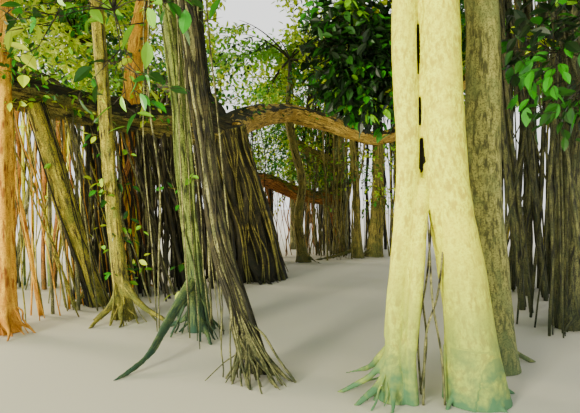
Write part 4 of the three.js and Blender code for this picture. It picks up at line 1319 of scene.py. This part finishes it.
def side_twigs(root, out, width, long, scale, dice):
    """Side twig j leaves at the share (j + 0.6) / count, to the left and right in turn, as long
    as the blade is wide there. The spray's own end counts as the last one."""
    flat = np.cross(width, out)
    j = np.arange(MOST_SIDES)
    count = np.clip(long / (SIDE_SPACING * scale), LEAST_SIDES, MOST_SIDES)[:, None]
    share = np.minimum((j + FIRST_SIDE) / count, 1)
    sign = np.where(j % 2, 1.0, -1.0)
    lean = dice.uniform(-1.0, 1.0, share.shape)
    aside = width[:, None] * (sign * np.cos(lean))[..., None] + flat[:, None] * np.sin(lean)[..., None]
    way = out[:, None] * math.cos(SIDE_ANGLE) + aside * math.sin(SIDE_ANGLE)
    reach = SPRAY_WIDTH / 2 * (1 - np.abs(2 * share - 1)) / math.sin(SIDE_ANGLE) + SIDE_EXTRA
    start = root[:, None] + out[:, None] * (share * long[:, None])[..., None]
    length = np.maximum(reach * long[:, None], SIDE_LEAST * scale)
    spray = np.broadcast_to(np.arange(len(root))[:, None], share.shape)
    keep = share < 1
    return start[keep], unit(way)[keep], length[keep], spray[keep]


def leaves_of(start, way, length, spray, scale, dice):
    """Leaf m on a twig stands at m leaf spacings from its end, at the golden turn round it."""
    m = np.arange(MOST_LEAVES)
    back = m * LEAF_SPACING * scale
    keep = back[None] < length[:, None]
    base = start[:, None] + way[:, None] * (length[:, None] - back)[..., None]
    turn = 2 * np.pi * (m * GOLDEN + dice.random(len(start))[:, None])
    axis = np.broadcast_to(way[:, None], base.shape)
    angle = np.broadcast_to(np.where(m == 0, TIP_ANGLE, LEAF_ANGLE), turn.shape)
    ahead = tilted(axis, angle + dice.normal(0, ANGLE_SPREAD, turn.shape), turn)
    ahead = unit(ahead - np.array([0, 0, LEAF_DROOP]))
    number = np.broadcast_to(spray[:, None], turn.shape)
    return base[keep], ahead[keep], number[keep]


print("leaves on a twig:", MOST_LEAVES, "at most")

# %% [markdown]
# A banyan leaf is a leathery pointed oval, 12 to 20 cm long and about half as wide, a little
# folded along its midrib and bent down at the tip. Far leaves have one four-sided face on either
# side of the midrib. Near ones have rows of three places, so that their edges are round. The
# crown would need over a million leaves at life size, so these are 17 to 25 cm long in the crown
# and life size in the low masses beside the path.

# %% Leaf blades
LEAF_LENGTH, LEAF_WIDTH, LEAF_FOLD, TIP_DROP = 0.17, 0.52, 0.16, 0.12
FAR_ROLL, NEAR_ROLL = 0.38, 0.45  # how far a leaf's upper side leans from the sky
OUTLINE = np.array([  # along, aside and up, as shares of length, half width and half width
    [0, 0, 0], [0.3, 1, LEAF_FOLD * 2], [0.72, 0.82, LEAF_FOLD], [1, 0, -TIP_DROP * 2],
    [0.72, -0.82, LEAF_FOLD], [0.3, -1, LEAF_FOLD * 2],
])


def leaf_sides(ahead, roll, dice):
    """Two directions square to each leaf: aside, and up, which leans randomly from the sky."""
    lean = np.array([0, 0, 1.0]) + dice.normal(0, roll, ahead.shape)
    aside = unit(np.cross(lean, ahead))
    return aside, np.cross(ahead, aside)


def blades(base, ahead, length, dice):
    """Far leaves with six outline places each: base + along * length + aside * half width + up
    * half width."""
    aside, up = leaf_sides(ahead, FAR_ROLL, dice)
    half = (length * LEAF_WIDTH / 2)[:, None, None]
    places = (
        base[:, None]
        + ahead[:, None] * (length[:, None] * OUTLINE[:, 0])[..., None]
        + aside[:, None] * half * OUTLINE[:, 1, None]
        + up[:, None] * half * OUTLINE[:, 2, None]
    )
    first = np.arange(len(base))[:, None] * 6
    quads = np.concatenate([first + [0, 3, 2, 1], first + [0, 5, 4, 3]], axis=1).reshape(-1, 4)
    return {"places": places.reshape(-1, 3), "quads": quads, "triangles": NO_TRIANGLES}


ROWS = np.array([0.06, 0.2, 0.42, 0.66, 0.88])  # shares of the leaf's length
ROUNDNESS, EDGE_RISE = 0.85, 1.6


def fine_blades(base, ahead, length, dice):
    """Near leaves with three places in each row: left edge, midrib and right edge. The half
    width at the share s is sin(pi s^roundness) of the whole, the edges stand up by the fold, and
    the leaf bends down by the tip's drop times s^2."""
    aside, up = leaf_sides(ahead, NEAR_ROLL, dice)
    s = np.concatenate([[0], np.repeat(ROWS, 3), [1]])
    edge = np.concatenate([[0], np.tile([1, 0, -1], len(ROWS)), [0]])
    edge = edge * np.sin(np.pi * s**ROUNDNESS)
    half = LEAF_WIDTH / 2
    rise = np.abs(edge) * half * LEAF_FOLD * EDGE_RISE - TIP_DROP * s**2
    places = base[:, None] + length[:, None, None] * (
        ahead[:, None] * s[:, None] + aside[:, None] * (edge * half)[:, None]
        + up[:, None] * rise[:, None])
    last = 3 * len(ROWS) + 1
    corners = [3 * r + side for r in range(len(ROWS) - 1) for side in (1, 2)]
    strips = [[i, i + 1, i + 4, i + 3] for i in corners]
    ends = [[0, 2, 1], [0, 3, 2], [last - 3, last - 2, last], [last - 2, last - 1, last]]
    first = np.arange(len(base))[:, None, None] * (last + 1)
    return {"places": places.reshape(-1, 3), "quads": (first + strips).reshape(-1, 4),
            "triangles": (first + ends).reshape(-1, 3)}


def spikes(start, end, thick):
    """Thin twigs as three-sided spikes: three places round the start and one at the end."""
    ahead = unit(end - start)
    side = across(ahead, np.abs(ahead[:, 2]) > STEEP)
    other = np.cross(ahead, side)
    turn = 2 * np.pi * np.arange(3) / 3
    round_it = side[:, None] * np.cos(turn)[:, None] + other[:, None] * np.sin(turn)[:, None]
    foot = start[:, None] + round_it * (thick / 2)[:, None, None]
    places = np.concatenate([foot, end[:, None]], axis=1)
    first = np.arange(len(start))[:, None] * 4
    faces = np.concatenate([first + [0, 1, 3], first + [1, 2, 3], first + [2, 0, 3],
                            first + [0, 2, 1]], axis=1)
    return {"places": places.reshape(-1, 3), "grain": places.reshape(-1, 3),
            "quads": NO_QUADS, "triangles": faces.reshape(-1, 3)}


print("faces of a far leaf: 2, of a near leaf:", 2 * (len(ROWS) - 1) + 4)

# %% [markdown]
# Fig leaves are leathery with a waxy skin, so they are moderately glossy. Where the sun comes
# through them they look yellow-green, and in the shade nearly black-green. Five plain greens are
# dealt out by spray: the bright ones more often high up, at the rim and to the left, the dark
# ones under the crown and beside the trunk, as in the photograph. Round the clearings the sun
# comes through, so the leaves there are brighter too.

# %% Leaf colours
# The brightest green is young leaves, and painted sunlight where it is dealt to bright places.
LEAF_GREENS = {
    "shaded_fig_leaf": "#10260a", "deep_green_fig_leaf": "#1f520c",
    "green_fig_leaf": "#2f8a10", "sunlit_fig_leaf": "#7cba0e", "young_and_sunlit_fig_leaf": "#c6dc14",
}
MEAN_GREEN = 0.42  # brightness from 0 to 1 in the middle of the crown's width, 5 m up
MEAN_HEIGHT, HEIGHT_RANGE, LEFT_RANGE = 5, 8, 14  # metres
BY_HEIGHT, BY_LEFT, BY_CLEARING, BY_CHANCE, LOW_CHANCE = 0.45, 0.3, 0.3, 0.22, 0.28
CLEARING_EDGE = 4.0  # the square of 2: leaves are brighter within twice a clearing's width
LOW_SHADE = {"foliage_low_path": -0.26, "foliage_low_right": -0.22, "foliage_low_left": 0.1}
SUNNY_MASS, SUNNY_LEAST = "foliage_low_left", 0.2


def leaf_material(name, colour):
    """A waxy leaf of one plain colour."""
    return started(name, Base_Color=linear(colour), Roughness=0.42, IOR=1.45)[0]


LEAVES = [leaf_material(name, colour) for name, colour in LEAF_GREENS.items()]


def greens_for(places, mass, dice):
    """A green for each spray: its brightness is a height share plus a leftward share plus
    chance, cut into the five greens."""
    height = (places[:, 2] - MEAN_HEIGHT) / HEIGHT_RANGE
    left = (CROWN_X - places[:, 0]) / LEFT_RANGE
    bright = MEAN_GREEN + BY_HEIGHT * height + BY_LEFT * left
    bright = bright + dice.normal(0, BY_CHANCE, len(places))
    bright = bright + BY_CLEARING * in_clearing(places, widen=CLEARING_EDGE)
    if "reach" in mass:
        bright = MEAN_GREEN + LOW_SHADE[mass["name"]] + dice.normal(0, LOW_CHANCE, len(places))
    if mass["name"] == SUNNY_MASS:
        bright = np.maximum(bright, SUNNY_LEAST)
    return np.clip((bright * len(LEAVES)).astype(int), 0, len(LEAVES) - 1)


print("leaf greens:", len(LEAVES))

# %% [markdown]
# No leaf may stand inside a limb, so each leaf's middle is held against the nearest place on any
# limb's middle line and the limb's radius there. A piece of leaves has all five greens, and each
# leaf's faces take the one that was dealt to it.

# %% Keeping leaves clear, and placing them
LEAF_CLEARANCE, CLEARANCE_STEP = 0.03, 0.08
every_limb = [*TRUNK_LEGS, *LIMBS.values()]
limb_lines = [spaced(spec["points"], CLEARANCE_STEP) for spec in every_limb]
limb_radii = [girth_along(line, spec) for line, spec in zip(limb_lines, every_limb)]
limb_lines, limb_radii = np.concatenate(limb_lines), np.concatenate(limb_radii)


def clear_of_limbs(places):
    """Whether places stand clear of the limb whose middle line is nearest."""
    near = nearest(places, limb_lines)
    gaps = np.linalg.norm(places - limb_lines[near], axis=1) - limb_radii[near]
    return gaps > LEAF_CLEARANCE


def place_leaves(name, shape, greens, nodes):
    """Puts leaves into the scene, each with all its faces in its own green."""
    mesh = mesh_of(name, shape)
    place_piece(name, mesh, LEAVES, nodes, rounded=False)
    per_leaf = [len(shape[kind]) // len(greens) for kind in ("quads", "triangles")]
    of_faces = np.concatenate([np.repeat(greens, faces) for faces in per_leaf])
    mesh.polygons.foreach_set("material_index", of_faces.astype(np.int32))


print("places on the limbs:", len(limb_lines))

# %% [markdown]
# Now each mass is grown, and its leaves and its twigs become one piece each. A leaf that would
# leave the mass's space or stand inside a limb is dropped. Each spray's leaves are one green.

# %% Growing the foliage
STEM_SHARE, STEM_TAPER = 0.9, 0.25  # of the bough's thickness, and of the stem's own at its end
TWIGS_LEAVE = 0.97  # of the stem's places, where the twigs leave it
TWIG_RINGS, TWIG_SIDES, STEM_SIDES = 10, 6, 8
TWIG_END = 1.02  # of its length, so that it ends within the spray that goes straight on
TWIG_THICK, LOW_TWIG_THICK, TWIG_TIP = 0.2, 0.1, 0.03  # radii as shares of the stem's thickness
SPRAY_END, SPRAY_THICK, SPRAY_GROWTH, SIDE_THICK = 0.97, 0.008, 0.008, 0.01
CROWN_LEAF, LEAF_SIZES = 1.3, (0.75, 1.15)  # times life size, and the range round it
LOW_SCALE = {"foliage_low_left": 1.3, "foliage_low_path": 0.75, "foliage_low_right": 1.0}
CARRIERS = {spec["carries"]: spec for spec in LIMBS.values() if "carries" in spec}

leaf_total = 0
for index, mass in enumerate(MASSES):
    dice = np.random.default_rng(500 + index)
    low = "reach" in mass
    scale = LOW_SCALE[mass["name"]] if low else 1.0
    carrier = CARRIERS[mass["name"]]
    stem = stem_of(mass, carrier)
    thick = carrier["girth"][1] * STEM_SHARE
    middle = stem[int(len(stem) * TWIGS_LEAVE)]
    headings, lengths = twigs_of(mass, index, middle)
    root, out, width, long = sprays_of(mass, index, middle, headings, lengths)
    start, way, length, spray = side_twigs(root, out, width, long, scale, dice)
    base, ahead, number = leaves_of(start, way, length, spray, scale, dice)
    size = LEAF_LENGTH * (1.0 if low else CROWN_LEAF) * dice.uniform(*LEAF_SIZES, len(base))
    tips = base + ahead * size[:, None]
    keep = in_space(tips, mass) & clear_of_limbs(base + ahead * size[:, None] * 0.5)
    base, ahead, size, number = base[keep], ahead[keep], size[keep], number[keep]
    shape = (fine_blades if low else blades)(base, ahead, size, dice)
    greens = greens_for(root, mass, dice)[number]
    place_leaves(mass["name"] + "_leaves", shape, greens, [mass["name"]])
    ends = start + way * length[:, None]
    fine = in_space(ends, mass)
    share = np.linspace(0, TWIG_END, TWIG_RINGS)
    arms = [on_twig(middle, heading, np.full(TWIG_RINGS, reach), share)
            for heading, reach in zip(headings, lengths)]
    arm_radii = thick * np.linspace(LOW_TWIG_THICK if low else TWIG_THICK, TWIG_TIP, TWIG_RINGS)
    wood = joined([
        tube(stem, np.linspace(thick / 2, thick * STEM_TAPER, len(stem)), STEM_SIDES),
        *[tube(arm, arm_radii, TWIG_SIDES) for arm in arms],
        spikes(root, root + out * long[:, None] * SPRAY_END, SPRAY_THICK + SPRAY_GROWTH * long),
        spikes(start[fine], ends[fine], np.full(fine.sum(), SIDE_THICK * scale)),
    ])
    place_piece(mass["name"] + "_twigs", mesh_of(mass["name"] + "_twigs", wood),
                [BARKS["dark"]], [mass["name"]])
    leaf_total += len(base)
print("leaves:", leaf_total)

# %% [markdown]
# Young leafy shoots stand out from the pillars and boughs that get light. Each is a straight
# thin twig from the limb's surface, with leaves along it. The ones on the rear pillars and on the
# low bough are what fills the view behind the arch with small leaves. Each row below gives the
# limb, how many shoots it has and on which stretch of it, their lengths in metres, how much they
# rise, and which of the five greens they take.

# %% Shoots on pillars and boughs
SHOOTS = [
    dict(on="pillar_yellow", count=34, span=(0.06, 0.5), length=(0.12, 0.36)),
    dict(on="pillar_smooth_left", count=7, span=(0.08, 0.3), length=(0.1, 0.25)),
    dict(on="pillar_leaning", count=5, span=(0.3, 0.8), length=(0.1, 0.3)),
    dict(on="bough_rising", count=60, span=(0.05, 0.6), length=(0.3, 1.1)),
    dict(on="bough_left", count=120, span=(0.12, 0.8), length=(0.3, 1.2)),
    dict(on="bough_far_left", count=110, span=(0.05, 0.8), length=(0.4, 1.4)),
    dict(on="bough_rear_left", count=130, span=(0.15, 0.8), length=(0.5, 1.5)),
    dict(on="bough_arch", count=24, span=(0.05, 0.7), length=(0.2, 0.5)),
    dict(on="bough_rear", count=200, span=(0.3, 0.95), length=(0.4, 1.8), rise=(-1.1, 0.6)),
    dict(on="pillar_rear", count=420, span=(0.45, 0.98), length=(0.5, 2.4), rise=(-0.5, 0.4)),
    dict(on="bough_low", count=130, span=(0.45, 0.98), length=(0.5, 1.5), rise=(0.8, 2.2)),
    dict(on="pillar_rear_right", count=60, span=(0.35, 0.7), length=(0.3, 1.2), rise=(-0.8, 0.5)),
    dict(on="pillar_far_left", count=40, span=(0.4, 0.75), length=(0.2, 0.7)),
    dict(on="spur_rear", count=40, span=(0.35, 0.98), length=(0.3, 0.9), rise=(-0.8, 0.6),
         greens=(0, 4)),
    dict(on="pillar_stub", count=60, span=(0.45, 0.98), length=(0.2, 0.8), rise=(-0.9, 0.3)),
    dict(on="pillar_right", count=24, span=(0.6, 0.98), length=(0.2, 0.6), rise=(-0.9, 0.3)),
]
USUAL_RISE, USUAL_GREENS = (-0.4, 0.9), (1, 5)
FINE_DISTANCE = 10.0  # from the eye, past which a shoot's leaves have few faces
SHOOT_SCALE, SHOOT_SPACING = 0.8, 1.4  # times a leaf's size, and times the space between leaves
SHOOT_SIZES, SHOOT_THICK = (0.6, 1.1), 0.008
SHOOT_SEAT = 0.8  # of the limb's radius from its middle, where a shoot starts

for seed, row in enumerate(SHOOTS):
    dice = np.random.default_rng(700 + seed)
    spec, count = LIMBS[row["on"]], row["count"]
    path = spaced(spec["points"], FINE_STEP)
    place = (dice.uniform(*row["span"], count) * len(path)).astype(int)
    turn = dice.uniform(0, 2 * np.pi, count)
    rise = dice.uniform(*row.get("rise", USUAL_RISE), count)
    way = unit(np.stack([np.cos(turn), np.sin(turn), rise], axis=1))
    root = path[place] + way * girth_along(path, spec)[place, None] * SHOOT_SEAT
    length = dice.uniform(*row["length"], count)
    base, ahead, number = leaves_of(
        root, way, length, np.arange(count), SHOOT_SCALE * SHOOT_SPACING, dice)
    size = LEAF_LENGTH * SHOOT_SCALE * dice.uniform(*SHOOT_SIZES, len(base))
    greens = dice.integers(*row.get("greens", USUAL_GREENS), count)[number]
    shoot_name = "shoots_" + row["on"]
    near = np.linalg.norm(path[place] - EYE, axis=1).min() < FINE_DISTANCE
    shape = (fine_blades if near else blades)(base, ahead, size, dice)
    place_leaves(shoot_name + "_leaves", shape, greens, [])
    wood = spikes(root, root + way * length[:, None], np.full(count, SHOOT_THICK))
    place_roots(shoot_name + "_twigs", wood, "yellow", cut=False)
print("shoots:", sum(row["count"] for row in SHOOTS))

# %% [markdown]
# A pale floor and soft light from a bright sky all round stand in for a studio. Two broad
# lights far away, one at the front left and a warm one at the left and behind, shine in low
# under the crown and model the trunk and the pillars. A weak one in front softens the shadows.
# The camera stands on the path with its horizon where it is in the photograph.

# %% Floor, light and camera
PALE_FLOOR, FLOOR_SIZE, FLOOR_DROP = "#d9d4c8", 160, 0.004
SKY, SKY_STRENGTH = "#f6f7f4", 1.9
floor_material = started("pale_floor", Base_Color=linear(PALE_FLOOR), Roughness=0.9)[0]
bpy.ops.mesh.primitive_plane_add(size=FLOOR_SIZE, location=(0, 0, -FLOOR_DROP))
floor = bpy.context.object
floor.name = "floor"
floor.data.materials.append(floor_material)

world = bpy.data.worlds.new("soft_sky")
bpy.context.scene.world = world
world.use_nodes = True
sky = world.node_tree.nodes["Background"].inputs
sky["Color"].default_value, sky["Strength"].default_value = linear(SKY), SKY_STRENGTH


def soft_light(name, place, aim, size, watts, colour="#ffffff"):
    """A square soft light at a place, turned to face what it is aimed at."""
    lamp = bpy.data.lights.new(name, "AREA")
    lamp.shape, lamp.size, lamp.energy, lamp.color = "SQUARE", size, watts, linear(colour)[:3]
    light = bpy.data.objects.new(name, lamp)
    light.location = place
    away = Vector(aim) - Vector(place)
    light.rotation_euler = away.to_track_quat("-Z", "Y").to_euler()
    bpy.context.scene.collection.objects.link(light)


soft_light("key_light", (-20.0, -24.0, 6.2), (-0.6, 1.0, 1.7), 6.5, 15500, "#fffbd2")
soft_light("fill_light", (3.0, -13.0, 2.6), (-1.5, 3.0, 1.5), 5.0, 250)
soft_light("low_sun", (-30.0, 14.0, 6.0), (-2.5, 3.5, 1.6), 7.0, 15000, "#ffeec4")

FOCAL_PIXELS, IMAGE_WIDTH, IMAGE_HEIGHT, HORIZON_ROW = 500, 580, 413, 200
SENSOR_WIDTH, FARTHEST = 36.0, 400.0  # millimetres, and metres
camera_data = bpy.data.cameras.new("camera")
camera_data.sensor_width = SENSOR_WIDTH
camera_data.lens = SENSOR_WIDTH * FOCAL_PIXELS / IMAGE_WIDTH
camera_data.clip_end = FARTHEST
camera = bpy.data.objects.new("camera", camera_data)
camera.location = EYE
down = math.atan((IMAGE_HEIGHT / 2 - HORIZON_ROW) / FOCAL_PIXELS)
camera.rotation_euler = (math.radians(90) - down, 0.0, 0.0)
bpy.context.scene.collection.objects.link(camera)
bpy.context.scene.camera = camera
print("lens:", round(camera_data.lens, 1), "mm, tilted down:", round(math.degrees(down), 2))
